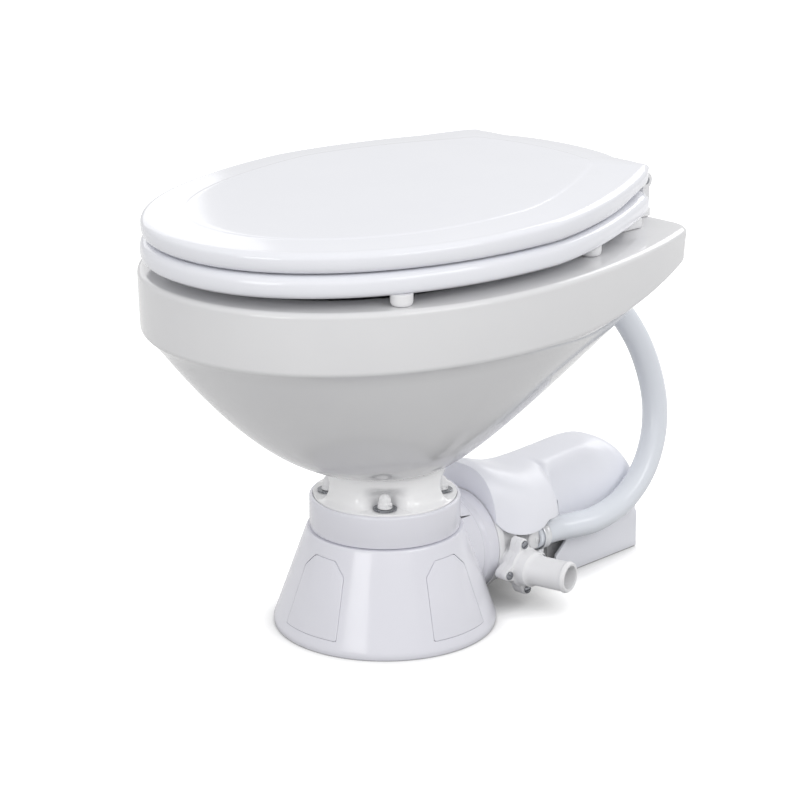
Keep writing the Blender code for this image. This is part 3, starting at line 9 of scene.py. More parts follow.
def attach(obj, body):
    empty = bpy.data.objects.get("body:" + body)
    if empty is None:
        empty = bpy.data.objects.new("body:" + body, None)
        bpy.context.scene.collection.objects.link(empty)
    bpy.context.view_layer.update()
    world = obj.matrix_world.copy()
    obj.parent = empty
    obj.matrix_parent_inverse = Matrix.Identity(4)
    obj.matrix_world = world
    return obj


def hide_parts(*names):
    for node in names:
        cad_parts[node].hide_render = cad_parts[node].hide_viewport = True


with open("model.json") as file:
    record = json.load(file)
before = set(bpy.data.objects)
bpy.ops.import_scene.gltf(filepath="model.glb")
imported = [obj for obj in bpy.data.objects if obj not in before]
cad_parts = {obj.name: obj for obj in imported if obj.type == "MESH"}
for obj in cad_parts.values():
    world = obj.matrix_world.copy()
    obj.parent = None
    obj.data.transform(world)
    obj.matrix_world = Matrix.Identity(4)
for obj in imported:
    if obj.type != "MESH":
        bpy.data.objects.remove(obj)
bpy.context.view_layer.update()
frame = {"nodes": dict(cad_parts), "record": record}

NODES = frame["nodes"]

# Sizes shared with the solids, in metres
GAP = 0.0003
SHAFT_Z = 0.0505
SEAM_Z = 0.0915
COLLAR_TOP_Z = 0.1215
COLLAR_RADIUS = 0.0680
NECK_RADIUS = 0.0545
FOOT_RADIUS = 0.0646
DRUM_RADIUS = 0.0500
RIM_Z = 0.3480
SEAT_LOW_Z = 0.3590
SEAT_THICKNESS = 0.0180
LID_LOW_Z = 0.3830
LID_THICKNESS = 0.0160
LID_SKIRT = 0.0042
LID_OVERHANG = 0.0125
HINGE_Y, HINGE_Z = 0.2420, 0.3820
PORT_X = 0.0452
FOOT_LOW = COLLAR_TOP_Z - 0.0014
FOOT_HIGH = FOOT_LOW + 0.0030
RIM_HALF_WIDTH = 0.1875
SEAT_HALF_WIDTH = 0.1780
DRAIN_RADIUS = 0.0195
SPIGOT_Z = 0.2680
HINGE_BOLT_X, HINGE_BOLT_Y = 0.1040, 0.1950
PIN_BORE = 0.0034
OUTLET_Y, OUTLET_Z = 0.1165, 0.0350
PORT_Y = 0.1455
PORT_BORE = 0.0062
HOSE_RADIUS, HOSE_BORE = 0.0122, 0.0095
FLANGE_TILT = 6

# Directions, and the lines that turned pieces stand on
ALONG_X = (0, math.pi / 2, 0)
ALONG_Y = (-math.pi / 2, 0, 0)
UPRIGHT = (0, 0, 0)
# Slight turns that keep the points of two round pieces from falling on each other where they join
BODY_TURN, PAD_TURN = (0, 0, 0.01), (0, 0, 0.03)
SHAFT = ((0, 0, SHAFT_Z), ALONG_Y)
SPIGOT = ((0, 0, SPIGOT_Z), ALONG_Y)
HINGE = ((0, HINGE_Y, HINGE_Z), ALONG_X)
OUTLET = ((0, OUTLET_Y, OUTLET_Z), ALONG_X)
PORTS = ((0, PORT_Y, SHAFT_Z), ALONG_X)


def on_circle(radius, degrees):
    """Points on a circle, at bearings in degrees."""
    return [(radius * math.cos(math.radians(turn)), radius * math.sin(math.radians(turn))) for turn in degrees]


BOLTS = on_circle(0.05, (45, 135, 225, 315))
EARS = on_circle(0.0225, [FLANGE_TILT + 90 * i for i in range(4)])


# Tools for modelling

def rest():
    """Leaves edit mode with nothing selected."""
    if bpy.context.mode != "OBJECT":
        bpy.ops.object.mode_set(mode="OBJECT")
    bpy.ops.object.select_all(action="DESELECT")


def only(piece):
    """Selects one piece and makes it the active one."""
    rest()
    piece.select_set(True)
    bpy.context.view_layer.objects.active = piece
    return piece


def settle(piece, centre=(0, 0, 0), turn=UPRIGHT):
    """Puts a piece in its place and leaves the place in its mesh."""
    only(piece)
    piece.location = centre
    piece.rotation_euler = turn
    bpy.ops.object.transform_apply(location=True, rotation=True, scale=True)
    return piece


def skin(rings, first_cap=True, last_cap=True):
    """A circle, extruded once for each ring, with the new points moved onto that ring."""
    rest()
    count = len(rings[0])
    bpy.ops.mesh.primitive_circle_add(vertices=count, radius=0.05)
    piece = bpy.context.active_object
    bpy.ops.object.mode_set(mode="EDIT")
    bpy.ops.mesh.select_mode(type="EDGE")
    bpy.ops.mesh.select_all(action="SELECT")
    sheet = bmesh.from_edit_mesh(piece.data)
    places = {vert.index: vert.index for vert in sheet.verts}
    for vert in sheet.verts:
        vert.co = rings[0][vert.index]
    for ring in rings[1:]:
        bpy.ops.mesh.extrude_edges_move()
        sheet = bmesh.from_edit_mesh(piece.data)
        sheet.verts.index_update()
        found = {}
        for vert in sheet.verts:
            if vert.select:
                old = next(edge.other_vert(vert) for edge in vert.link_edges if not edge.other_vert(vert).select)
                found[vert.index] = places[old.index]
                vert.co = ring[places[old.index]]
        places = found
    if last_cap:
        bpy.ops.mesh.edge_face_add()
    if first_cap:
        bpy.ops.mesh.select_all(action="DESELECT")
        sheet = bmesh.from_edit_mesh(piece.data)
        for edge in sheet.edges:
            edge.select = max(vert.index for vert in edge.verts) < count
        bpy.ops.mesh.edge_face_add()
    bpy.ops.mesh.select_all(action="SELECT")
    bpy.ops.mesh.remove_doubles(threshold=0.000005)
    bpy.ops.mesh.normals_make_consistent(inside=False)
    rest()
    return piece


def lathe(profile, sides=64, first_cap=True, last_cap=True):
    """A turned piece from a profile of (radius, height), drawn out ring by ring and scaled."""
    rest()
    radius, height = profile[0]
    bpy.ops.mesh.primitive_circle_add(vertices=sides, radius=radius, location=(0, 0, height),
                                      fill_type="NGON" if first_cap else "NOTHING")
    piece = bpy.context.active_object
    bpy.ops.object.transform_apply(location=True)
    bpy.ops.object.mode_set(mode="EDIT")
    bpy.ops.mesh.select_mode(type="EDGE")
    bpy.ops.mesh.select_all(action="SELECT")
    if first_cap:
        bpy.ops.mesh.region_to_loop()
    for new_radius, new_height in profile[1:]:
        bpy.ops.mesh.extrude_edges_move(TRANSFORM_OT_translate={"value": (0, 0, new_height - height)})
        if abs(new_radius - radius) > 0.0000001:
            grow = new_radius / radius
            bpy.ops.transform.resize(value=(grow, grow, 1), center_override=(0, 0, new_height))
        radius, height = new_radius, new_height
    if last_cap:
        bpy.ops.mesh.edge_face_add()
    bpy.ops.mesh.select_all(action="SELECT")
    bpy.ops.mesh.remove_doubles(threshold=0.000005)
    bpy.ops.mesh.normals_make_consistent(inside=False)
    rest()
    return piece


def loop_lathe(profile, sides=64):
    """A turned ring whose profile closes on itself."""
    return lathe([*profile, profile[0]], sides, False, False)


def block(low, high, bevel=0.0):
    """A cube drawn to a box, with its edges rounded."""
    rest()
    low, high = Vector(low), Vector(high)
    bpy.ops.mesh.primitive_cube_add(size=1, location=(low + high) / 2, scale=high - low)
    piece = bpy.context.active_object
    bpy.ops.object.transform_apply(location=True, rotation=True, scale=True)
    if bevel:
        bpy.ops.object.mode_set(mode="EDIT")
        bpy.ops.mesh.select_all(action="SELECT")
        bpy.ops.mesh.bevel(offset=bevel, segments=3, profile=0.5, affect="EDGES")
    rest()
    return piece


def prism(outline, low, high):
    """An outline of (a, b) points drawn up from low to high."""
    return skin([[(a, b, low) for a, b in outline], [(a, b, high) for a, b in outline]])


def boolean(piece, other, operation):
    """Works another piece into this one, and uses it up."""
    only(piece)
    step = piece.modifiers.new(operation.lower(), "BOOLEAN")
    step.operation = operation
    step.solver = "EXACT"
    step.object = other
    bpy.ops.object.modifier_apply(modifier=step.name)
    bpy.data.objects.remove(other, do_unlink=True)
    return piece


def cut(piece, *others):
    """Takes other pieces out of this one."""
    for other in others:
        boolean(piece, other, "DIFFERENCE")
    return piece


def weld(piece, *others):
    """Joins other pieces to this one."""
    for other in others:
        boolean(piece, other, "UNION")
    return piece


def soften(piece, width, segments=3, angle=40):
    """Rounds a piece's sharp edges."""
    only(piece)
    step = piece.modifiers.new("bevel", "BEVEL")
    step.width = width
    step.segments = segments
    step.limit_method = "ANGLE"
    step.angle_limit = math.radians(angle)
    step.use_clamp_overlap = True
    bpy.ops.object.modifier_apply(modifier=step.name)
    return piece


def copied(pattern):
    """A copy of a pattern, with its own mesh."""
    made = pattern.copy()
    made.data = pattern.data.copy()
    bpy.context.scene.collection.objects.link(made)
    return made


def put_away(*patterns):
    """Takes patterns out of the scene once their copies are in place."""
    for pattern in patterns:
        bpy.data.objects.remove(pattern, do_unlink=True)


def arc(centre, radius, start, end, count):
    """Points on an arc, its angles in degrees."""
    turns = [math.radians(start + (end - start) * i / count) for i in range(count + 1)]
    return [(centre[0] + radius * math.cos(turn), centre[1] + radius * math.sin(turn)) for turn in turns]


def round_ring(centre, across, up, radius, sides):
    """A circle of points about a centre, in the plane of two directions."""
    turns = [2 * math.pi * i / sides for i in range(sides)]
    return [centre + radius * (across * math.cos(turn) + up * math.sin(turn)) for turn in turns]


def curve_through(places, steps):
    """A smooth line through places that have any number of values, with a number of steps between two."""
    knots = [Vector(place) for place in places]
    knots = [2 * knots[0] - knots[1], *knots, 2 * knots[-1] - knots[-2]]
    found = [knots[1]]
    for a, b, c, d in zip(knots, knots[1:], knots[2:], knots[3:]):
        for i in range(1, steps + 1):
            t = i / steps
            found.append(0.5 * (2 * b + (c - a) * t + (2 * a - 5 * b + 4 * c - d) * t ** 2
                                + (3 * b - a - 3 * c + d) * t ** 3))
    return found


def dress(piece, name, finish, body="root", replaces=(), angle=35):
    """Names a finished piece, gives it its finish, and puts it on the body that carries it."""
    only(piece)
    piece.name = name
    piece.data.name = name
    piece.data.materials.clear()
    piece.data.materials.append(FINISHES[finish])
    bpy.ops.object.shade_smooth_by_angle(angle=math.radians(angle))
    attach(piece, body)
    if replaces:
        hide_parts(*replaces)
    rest()
    return piece


# Finishes

def colour(code):
    """A colour written as sRGB hex, as linear values."""
    parts = [int(code[i:i + 2], 16) / 255 for i in (1, 3, 5)]
    return (*(part / 12.92 if part <= 0.04045 else ((part + 0.055) / 1.055) ** 2.4 for part in parts), 1)


def node(tree, kind, settings=(), values=(), links=()):
    """Adds a shader node with its settings, socket values and incoming links."""
    made = tree.nodes.new(kind)
    for name, value in dict(settings).items():
        setattr(made, name, value)
    for socket, value in dict(values).items():
        made.inputs[socket].default_value = value
    for socket, (source, output) in dict(links).items():
        tree.links.new(source.outputs[output], made.inputs[socket])
    return made


def finish(name, light, dark, roughness, spread, wave, grain, ior=1.5, metallic=0.0):
    """A material with slow colour drift, uneven gloss and two scales of relief.

    wave and grain are (size in metres, height in metres). roughness drifts by spread.
    """
    made = bpy.data.materials.new(name)
    made.use_nodes = True
    tree = made.node_tree
    tree.nodes.clear()
    where = node(tree, "ShaderNodeTexCoord")
    drift = node(tree, "ShaderNodeTexNoise", values={"Scale": 14, "Detail": 3, "Roughness": 0.5},
                 links={"Vector": (where, "Object")})
    tint = node(tree, "ShaderNodeMix", {"data_type": "RGBA"}, {6: colour(light), 7: colour(dark)},
                {0: (drift, 0)})
    worn = node(tree, "ShaderNodeTexNoise", values={"Scale": 60, "Detail": 4, "Roughness": 0.6},
                links={"Vector": (where, "Object")})
    gloss = node(tree, "ShaderNodeMapRange", values={3: roughness - spread, 4: roughness + spread},
                 links={0: (worn, 0)})
    swell = node(tree, "ShaderNodeTexNoise", values={"Scale": 1 / wave[0], "Detail": 1, "Roughness": 0.4},
                 links={"Vector": (where, "Object")})
    fine = node(tree, "ShaderNodeTexNoise", values={"Scale": 1 / grain[0], "Detail": 2, "Roughness": 0.5},
                links={"Vector": (where, "Object")})
    low = node(tree, "ShaderNodeBump", values={"Strength": 1, "Distance": wave[1]}, links={"Height": (swell, 0)})
    high = node(tree, "ShaderNodeBump", values={"Strength": 1, "Distance": grain[1]},
                links={"Height": (fine, 0), "Normal": (low, 0)})
    shader = node(tree, "ShaderNodeBsdfPrincipled", values={"Metallic": metallic, "IOR": ior},
                  links={"Base Color": (tint, 2), "Roughness": (gloss, 0), "Normal": (high, 0)})
    node(tree, "ShaderNodeOutputMaterial", links={"Surface": (shader, 0)})
    return made


FINISHES = {
    # Vitreous china, sprayed and fired: a hard wet gloss over a faintly rippled, slightly warm white
    "china": finish("glazed_vitreous_china", "#E7E7E8", "#E1E1E3", 0.09, 0.02,
                    (0.012, 0.00003), (0.004, 0.000004), ior=1.52),
    # Injection-moulded ABS in a polished tool: glossy, a little wavy where thick and thin walls meet
    "base_plastic": finish("moulded_gloss_abs", "#EBEBF2", "#E6E6EE", 0.16, 0.03,
                           (0.018, 0.00004), (0.002, 0.000003)),
    # Urea seat moulding, pressed and buffed: cool white, very smooth
    "seat_plastic": finish("pressed_urea_resin", "#F2F3F8", "#EEEFF5", 0.11, 0.02,
                           (0.03, 0.00003), (0.003, 0.000003)),
    # ABS cover with an eggshell gloss, from a spark-finished tool
    "cover_plastic": finish("satin_moulded_abs", "#F4F5FB", "#F0F1F8", 0.34, 0.04,
                            (0.02, 0.00004), (0.0009, 0.000012)),
    # Glass-filled nylon: matte, with a fine dry grain
    "nylon": finish("moulded_nylon", "#F3F3F4", "#ECECEE", 0.45, 0.05,
                    (0.01, 0.00003), (0.0008, 0.00002)),
    # Plasticised PVC hose: smooth, with faint draw marks
    "hose": finish("extruded_pvc", "#EBEFF6", "#E5E9F0", 0.17, 0.03,
                   (0.02, 0.00004), (0.003, 0.000005)),
    "pump_black": finish("moulded_black_nylon", "#1C1C1E", "#141416", 0.42, 0.06,
                         (0.01, 0.00003), (0.0008, 0.00002)),
    "rubber": finish("moulded_nitrile_rubber", "#1E1E1F", "#171718", 0.68, 0.06,
                     (0.008, 0.00003), (0.0006, 0.00002)),
    # Stainless steel, machined: a satin sheen with fine marks round the axis
    "steel": finish("turned_stainless_steel", "#A2A4A8", "#7F8186", 0.27, 0.06,
                    (0.006, 0.00001), (0.0004, 0.000006), metallic=1.0),
    # Motor can in black stoving enamel: a slight orange peel
    "motor_paint": finish("black_stoving_enamel", "#191A1C", "#121315", 0.30, 0.05,
                          (0.003, 0.00003), (0.001, 0.00001)),
}

# Rolled stainless strip, brighter and less polished than the turned screws
CLIP_STRIP = finish("rolled_stainless_strip", "#E9EAEC", "#D8D9DC", 0.42, 0.06,
                    (0.006, 0.00001), (0.0004, 0.000006), metallic=0.7)


def paint_foot_light(china, low_z, high_z):
    """Painted light: the china is coloured whiter below the neck, as if lit more strongly there, blended in between
    two heights.
    """
    place = node(china, "ShaderNodeTexCoord")
    parts = node(china, "ShaderNodeSeparateXYZ", links={"Vector": (place, "Object")})
    share = node(china, "ShaderNodeMapRange",
                 values={"From Min": low_z, "From Max": high_z, "To Min": 1, "To Max": 0},
                 links={"Value": (parts, "Z")})
    # Painted light: a whiter china colour for the foot, not a different glaze.
    painted_foot_light = node(china, "ShaderNodeMix", {"data_type": "RGBA"}, {7: colour("#F8F8F9")},
                {0: (share, "Result"), 6: (china.nodes["Mix"], 2)})
    china.links.new(painted_foot_light.outputs[2], china.nodes["Principled BSDF"].inputs["Base Color"])


# Painted light on the foot and lower neck of the china.
paint_foot_light(FINISHES["china"].node_tree, 0.149, 0.158)
SLOTS = {entry["node"]: entry["material_slot"] for entry in frame["record"]["subparts"]}
for name, piece in NODES.items():
    piece.data.materials.clear()
    piece.data.materials.append(FINISHES[SLOTS[name]])


# Camera, floor and light

def lamp(name, azimuth, elevation, distance, size, power):
    """A soft box at a bearing round the toilet, aimed at it."""
    light = bpy.data.lights.new(name, "AREA")
    light.shape = "RECTANGLE"
    light.size, light.size_y = size
    light.energy = power
    holder = bpy.data.objects.new(name, light)
    bpy.context.scene.collection.objects.link(holder)
    aim = Vector((0, 0.02, 0.2))
    turn, rise = math.radians(azimuth), math.radians(elevation)
    bearing = Vector((math.sin(turn) * math.cos(rise), -math.cos(turn) * math.cos(rise), math.sin(rise)))
    holder.location = aim + distance * bearing
    holder.rotation_euler = (aim - holder.location).to_track_quat("-Z", "Y").to_euler()
    return holder


def viewpoint(reach, height, turn, tilt):
    """The camera of the photograph: a long lens, ahead of the toilet and to its left."""
    camera = bpy.data.cameras.new("camera")
    camera.lens = 122.4
    camera.sensor_width = 36
    viewer = bpy.data.objects.new("camera", camera)
    bpy.context.scene.collection.objects.link(viewer)
    viewer.location = (reach * math.sin(math.radians(45)), -reach * math.cos(math.radians(45)), height)
    viewer.rotation_euler = (math.radians(90 - tilt), 0, math.radians(turn))
    bpy.context.scene.camera = viewer
    bpy.context.scene.view_settings.view_transform = "Standard"


def paper_floor():
    """White paper that keeps the lamps' soft shadow, darkened next to the toilet by a painted contact shade, and
    sends less light back up than it shows.
    """
    rest()
    bpy.ops.mesh.primitive_plane_add(size=60)
    floor = bpy.context.active_object
    floor.name = "floor"
    paper = bpy.data.materials.new("white_floor_with_painted_contact_shade")
    paper.use_nodes = True
    tree = paper.node_tree
    tree.nodes.clear()
    ray = node(tree, "ShaderNodeLightPath")
    # Painted contact shade: an occlusion test darkens the floor's colour and its glow where the toilet stands close.
    painted_contact_shade = node(tree, "ShaderNodeAmbientOcclusion", {"samples": 12}, {"Distance": 0.04})
    soft = node(tree, "ShaderNodeMapRange", values={"From Min": 0.25, "From Max": 0.95, "To Min": 0.3, "To Max": 1},
                links={"Value": (painted_contact_shade, "AO")})
    plain = node(tree, "ShaderNodeBsdfDiffuse", values={"Color": (0.39, 0.39, 0.39, 1)})
    lit = node(tree, "ShaderNodeBsdfDiffuse", links={"Color": (soft, "Result")})
    lift = node(tree, "ShaderNodeMath", {"operation": "MULTIPLY"}, {1: 0.42}, {0: (ray, "Is Camera Ray")})
    glow = node(tree, "ShaderNodeEmission", links={"Color": (soft, "Result"), "Strength": (lift, 0)})
    shown = node(tree, "ShaderNodeAddShader", links={0: (lit, 0), 1: (glow, 0)})
    mirrored = node(tree, "ShaderNodeMath", {"operation": "MAXIMUM"},
                    links={0: (ray, "Is Glossy Ray"), 1: (ray, "Is Transmission Ray")})
    seen = node(tree, "ShaderNodeMath", {"operation": "MAXIMUM"}, links={0: (ray, "Is Camera Ray"), 1: (mirrored, 0)})
    sheet = node(tree, "ShaderNodeMixShader", links={0: (seen, 0), 1: (plain, 0), 2: (shown, 0)})
    node(tree, "ShaderNodeOutputMaterial", links={"Surface": (sheet, 0)})
    floor.data.materials.append(paper)


def studio(strength):
    """An even white room."""
    world = bpy.data.worlds.new("studio")
    bpy.context.scene.world = world
    world.use_nodes = True
    sky = world.node_tree.nodes["Background"]
    sky.inputs["Color"].default_value = (1, 1, 1, 1)
    sky.inputs["Strength"].default_value = strength


viewpoint(2.294, 0.952, 44.662, 17.97)
paper_floor()
studio(0.74)
lamp("left_box", 14, 18, 3.0, (1.25, 0.9), 14)
lamp("right_box", 97, 35, 3.0, (1.6, 0.9), 15)
lamp("front_box", 55, 27, 3.2, (3.0, 1.6), 10)
lamp("back_box", 247, 24, 3.2, (1.6, 1.5), 6)
lamp("rear_box", 190, 32, 3.2, (1.6, 1.5), 20)


# Plans of the rim, seat and lid

def egg(half_width, front, belly, rear, rear_half_width, corner, taper):
    """A plan that is full at the front and draws in to a straight rear edge."""
    fullness = 2.1
    half = []
    for i in range(60):
        turn = math.pi / 2 * i / 60
        half.append((half_width * math.sin(turn) ** (2 / fullness),
                     belly - (belly + front) * math.cos(turn) ** (2 / fullness)))
    run = rear - belly
    slope = math.atan((half_width - rear_half_width) * taper / run)
    side_end = rear - corner * (1 - math.sin(slope))
    for i in range(41):
        y = belly + (side_end - belly) * i / 40
        half.append((half_width - (half_width - rear_half_width) * ((y - belly) / run) ** taper, y))
    corner_x = half[-1][0] - corner * math.cos(slope)
    for i in range(1, 15):
        turn = slope + (math.pi / 2 - slope) * i / 14
        half.append((corner_x + corner * math.cos(turn), rear - corner + corner * math.sin(turn)))
    for i in range(1, 17):
        half.append((corner_x * (1 - i / 16), rear))
    return half + [(-x, y) for x, y in reversed(half[1:-1])]


def eased(share):
    """A share from 0 to 1 that starts and ends gently."""
    share = min(1, max(0, share))
    return share * share * (3 - 2 * share)


def level(outline, z):
    """An outline as a ring at one height."""
    return [(x, y, z) for x, y in outline]


def seat_plan(inset):
    """The plan that seat and lid share."""
    return egg(SEAT_HALF_WIDTH - inset, 0.233 - inset, 0.028, 0.233 - inset, 0.109 - inset,
               0.031 * (1 - inset / SEAT_HALF_WIDTH), 1.5)


def rim_plan(inset):
    """The plan of the bowl's rim and its rear deck."""
    return egg(RIM_HALF_WIDTH - inset, 0.231 - inset, 0.02, 0.25 - inset, 0.14 - inset,
               0.024 * (1 - inset / 0.14), 1.9)


# Bowl

def china_bowl():
    """Slip-cast china: up the hollow, over the box rim, down the band and the underside to the foot."""
    turns = []
    for x, y in rim_plan(0):
        reach = 0.251 if y < 0.02 else 0.23
        turns.append(math.atan2((y - 0.02) / reach, x / RIM_HALF_WIDTH))

    def oval(half_width, front, rear, z):
        middle, reach = (rear - front) / 2, (rear + front) / 2
        return [(half_width * math.cos(turn), middle + reach * math.sin(turn), z) for turn in turns]

    def circle(radius, z):
        return oval(radius, radius, radius, z)

    width, front, rear, floor_z, lip = 0.1625, 0.206, 0.15, 0.164, RIM_Z - 0.03
    depth = lip - floor_z
    stations = [(DRAIN_RADIUS, DRAIN_RADIUS, DRAIN_RADIUS, floor_z - 0.013), (0.026, 0.026, 0.026, floor_z)]
    stations += [(width * share, front * share ** 1.4 * 0.99, rear * share, floor_z + depth * rise)
                 for share, rise in ((0.5, 0.17), (0.74, 0.38), (0.91, 0.64), (1.0, 0.88))]
    stations.append((width, front, rear, lip - 0.0035))
    rings = [circle(DRAIN_RADIUS, FOOT_LOW)]
    rings += [oval(*station) for station in curve_through(stations, 6)]
    opening = (0.133, 0.19, 0.125)
    for share, drop in ((0.5, 0.0006), (0.9, 0.0002), (1.0, -0.001)):
        rings.append(oval(width + (opening[0] - width) * share, front + (opening[1] - front) * share,
                          rear + (opening[2] - rear) * share, lip - drop))
    rings.append(oval(0.1295, 0.1865, 0.125, RIM_Z - 0.007))
    for inset, height in arc((0, 0), 0.007, 0, 90, 9)[1:]:
        out = 0.0035 - inset
        rings.append(oval(0.133 + out, 0.19 + out, 0.1285 + out, RIM_Z - 0.007 + height))
    for out, height in arc((0, 0), 0.005, 90, 0, 10):
        rings.append(level(rim_plan(0.005 - out), RIM_Z - 0.005 + height))

    def band_foot(inset, raised):
        """The band's foot, which rises behind the belly to the thinner rear deck."""
        ring = []
        for x, y in rim_plan(inset):
            share = min(1, max(0, (y - 0.04) / 0.21))
            ring.append((x, y, RIM_Z - 0.052 + 0.024 * share ** 1.5 + raised))
        return ring

    rings.append(band_foot(0.0008, 0.012))
    for inset, height in arc((0, 0), 0.005, 0, 62, 7):
        rings.append(band_foot(0.0012 + (0.005 - inset) * 0.9, 0.0025 - height * 1.1))
    top = band_foot(0.0062, -0.0025)
    neck = circle(NECK_RADIUS, 0.1525)
    for step in range(1, 30):
        share = 1 - step / 30
        ring = []
        for low, high in zip(neck, top):
            rise = share ** (1.38 - 0.27 * high[1] / 0.25)
            ring.append((low[0] + (high[0] - low[0]) * share, low[1] + (high[1] - low[1]) * share,
                         low[2] + (high[2] - low[2]) * rise))
        rings.append(ring)

    def pocketed(radius, z, floor_share=0.0):
        """A ring of the neck, drawn in to a rounded pocket at each bolt."""
        depth = 1 - eased((z - 0.1325) / 0.013)
        ring = []
        for turn in turns:
            away = abs(turn % (math.pi / 2) - math.pi / 4)
            share = depth * math.exp(-(away / 0.31) ** 3.4)
            reach = radius - (radius - 0.0386) * share
            ring.append((reach * math.cos(turn), reach * math.sin(turn), z - (z - FOOT_HIGH) * floor_share * share))
        return ring

    rings += [circle(NECK_RADIUS, 0.152 - 0.002 * i) for i in range(4)]
    rings += [pocketed(NECK_RADIUS, 0.1445 - 0.001 * i) for i in range(7)]
    for out, height in arc((0, 0), 1, 180, 255, 14):
        rings.append(pocketed(NECK_RADIUS + 0.0085 * (1 + out), 0.1385 + (0.1385 - FOOT_HIGH - 0.001) * height))
    rings += [pocketed(FOOT_RADIUS - 0.0012, FOOT_HIGH + 0.0002, 1.0),
              circle(FOOT_RADIUS - 0.0005, FOOT_HIGH - 0.0001), circle(FOOT_RADIUS, FOOT_HIGH - 0.0006),
              circle(FOOT_RADIUS, FOOT_LOW + 0.0004), circle(FOOT_RADIUS - 0.0003, FOOT_LOW),
              circle(DRAIN_RADIUS, FOOT_LOW)]
    bowl = skin(rings, False, False)
    weld(bowl, settle(lathe([(0.02, 0.164), (0.02, 0.2224), (0.0195, 0.2236), (0.0184, 0.224)], 48), *SPIGOT))
    cut(bowl, settle(lathe([(0.0122, 0.13), (0.0122, 0.228)], 48), *SPIGOT))
    for x, y in BOLTS:
        cut(bowl, settle(lathe([(0.0036, 0), (0.0036, 0.01)], 24), (x, y, FOOT_LOW - 0.004)))
    for side in (-1, 1):
        x, y = side * HINGE_BOLT_X, HINGE_BOLT_Y
        cut(bowl, settle(lathe([(0.0036, 0), (0.0036, 0.03)], 24), (x, y, RIM_Z - 0.026)),
            settle(lathe([(0.013, -0.066), (0.013, -0.001), (0.012, 0)], 32), (x, y, RIM_Z - 0.022)))
    dress(bowl, "china_bowl", "china", replaces=["bowl"], angle=40)


def bowl_fixings():
    """White cap nuts on steel washers in the pockets round the foot, and the gasket under it."""
    washer = loop_lathe([(0.0034, 0.0012), (0.0104, 0.0012), (0.0108, 0.0009), (0.0108, 0.0002), (0.0105, 0),
                         (0.0034, 0)], 48)
    nut = lathe([(0.0066, 0.0015), (0.0066, 0.0028)], 48)
    hexagon = lathe([(0.0062, 0.0015), (0.0066, 0.0021), (0.0066, 0.0058), (0.006, 0.0064)], 6)
    dome = lathe([(0.0056, 0.006), *arc((0, 0.0086), 0.0054, 0, 78, 8)], 40)
    weld(nut, hexagon, dome)
    soften(nut, 0.0003, 2, 30)
    for i, (x, y) in enumerate(BOLTS, 1):
        place = (x, y, FOOT_HIGH + GAP)
        dress(settle(copied(washer), place), f"foot_washer_{i}", "steel", replaces=[f"bowl_washer_{i}"])
        dress(settle(copied(nut), place), f"foot_cap_nut_{i}", "nylon", replaces=[f"bowl_nut_{i}"])
    put_away(washer, nut)
    gasket = loop_lathe([(DRAIN_RADIUS, 0.001), (0.0634, 0.001), (0.0634, 0), (DRAIN_RADIUS, 0)], 128)
    dress(settle(gasket, (0, 0, COLLAR_TOP_Z - 0.0027)), "foot_gasket", "rubber", replaces=["bowl_gasket"])


# Pedestal

def cone_radius(z, inset=0.0):
    """The pedestal's radius at a height, or of a layer inside it."""
    return 0.101 - 0.0305 * max(0, z - 0.005) / 0.0865 - inset


def cover_outline(grow):
    """The outline of a bolt cover: a tall panel with its upper corners cut off and all corners rounded."""
    low_half = cone_radius(0.013) * math.sin(math.radians(19)) + grow
    high_half = cone_radius(0.079) * math.sin(math.radians(19)) + grow
    low, high, slant = 0.013 - grow, 0.079 + grow, 0.012
    corners = [(-low_half, low), (low_half, low), (high_half, high - slant), (high_half - slant, high),
               (slant - high_half, high), (-high_half, high - slant)]
    outline = []
    for before, corner, after in zip([corners[-1], *corners], corners, [*corners[1:], corners[0]]):
        before, corner, after = Vector(before), Vector(corner), Vector(after)
        start = corner + (before - corner).normalized() * 0.0022
        end = corner + (after - corner).normalized() * 0.0022
        for i in range(5):
            t = i / 4
            outline.append(tuple(start * (1 - t) ** 2 + corner * 2 * t * (1 - t) + end * t ** 2))
    return outline


def cover_window(turn, grow):
    """A bar with a bolt cover's outline, standing out from the axis at a bearing."""
    bar = prism(cover_outline(grow), 0.035, 0.106)
    upended = Matrix.Rotation(math.pi / 2, 4, "X")
    bar.data.transform(Matrix.Rotation(math.radians(turn) + math.pi / 2, 4, "Z") @ upended)
    return bar


def cone(inset):
    """The solid inside a layer of the cone."""
    foot = cone_radius(0, inset)
    return lathe([(foot, -0.01), (foot, 0.005), (cone_radius(SEAM_Z, inset), SEAM_Z)], 160)


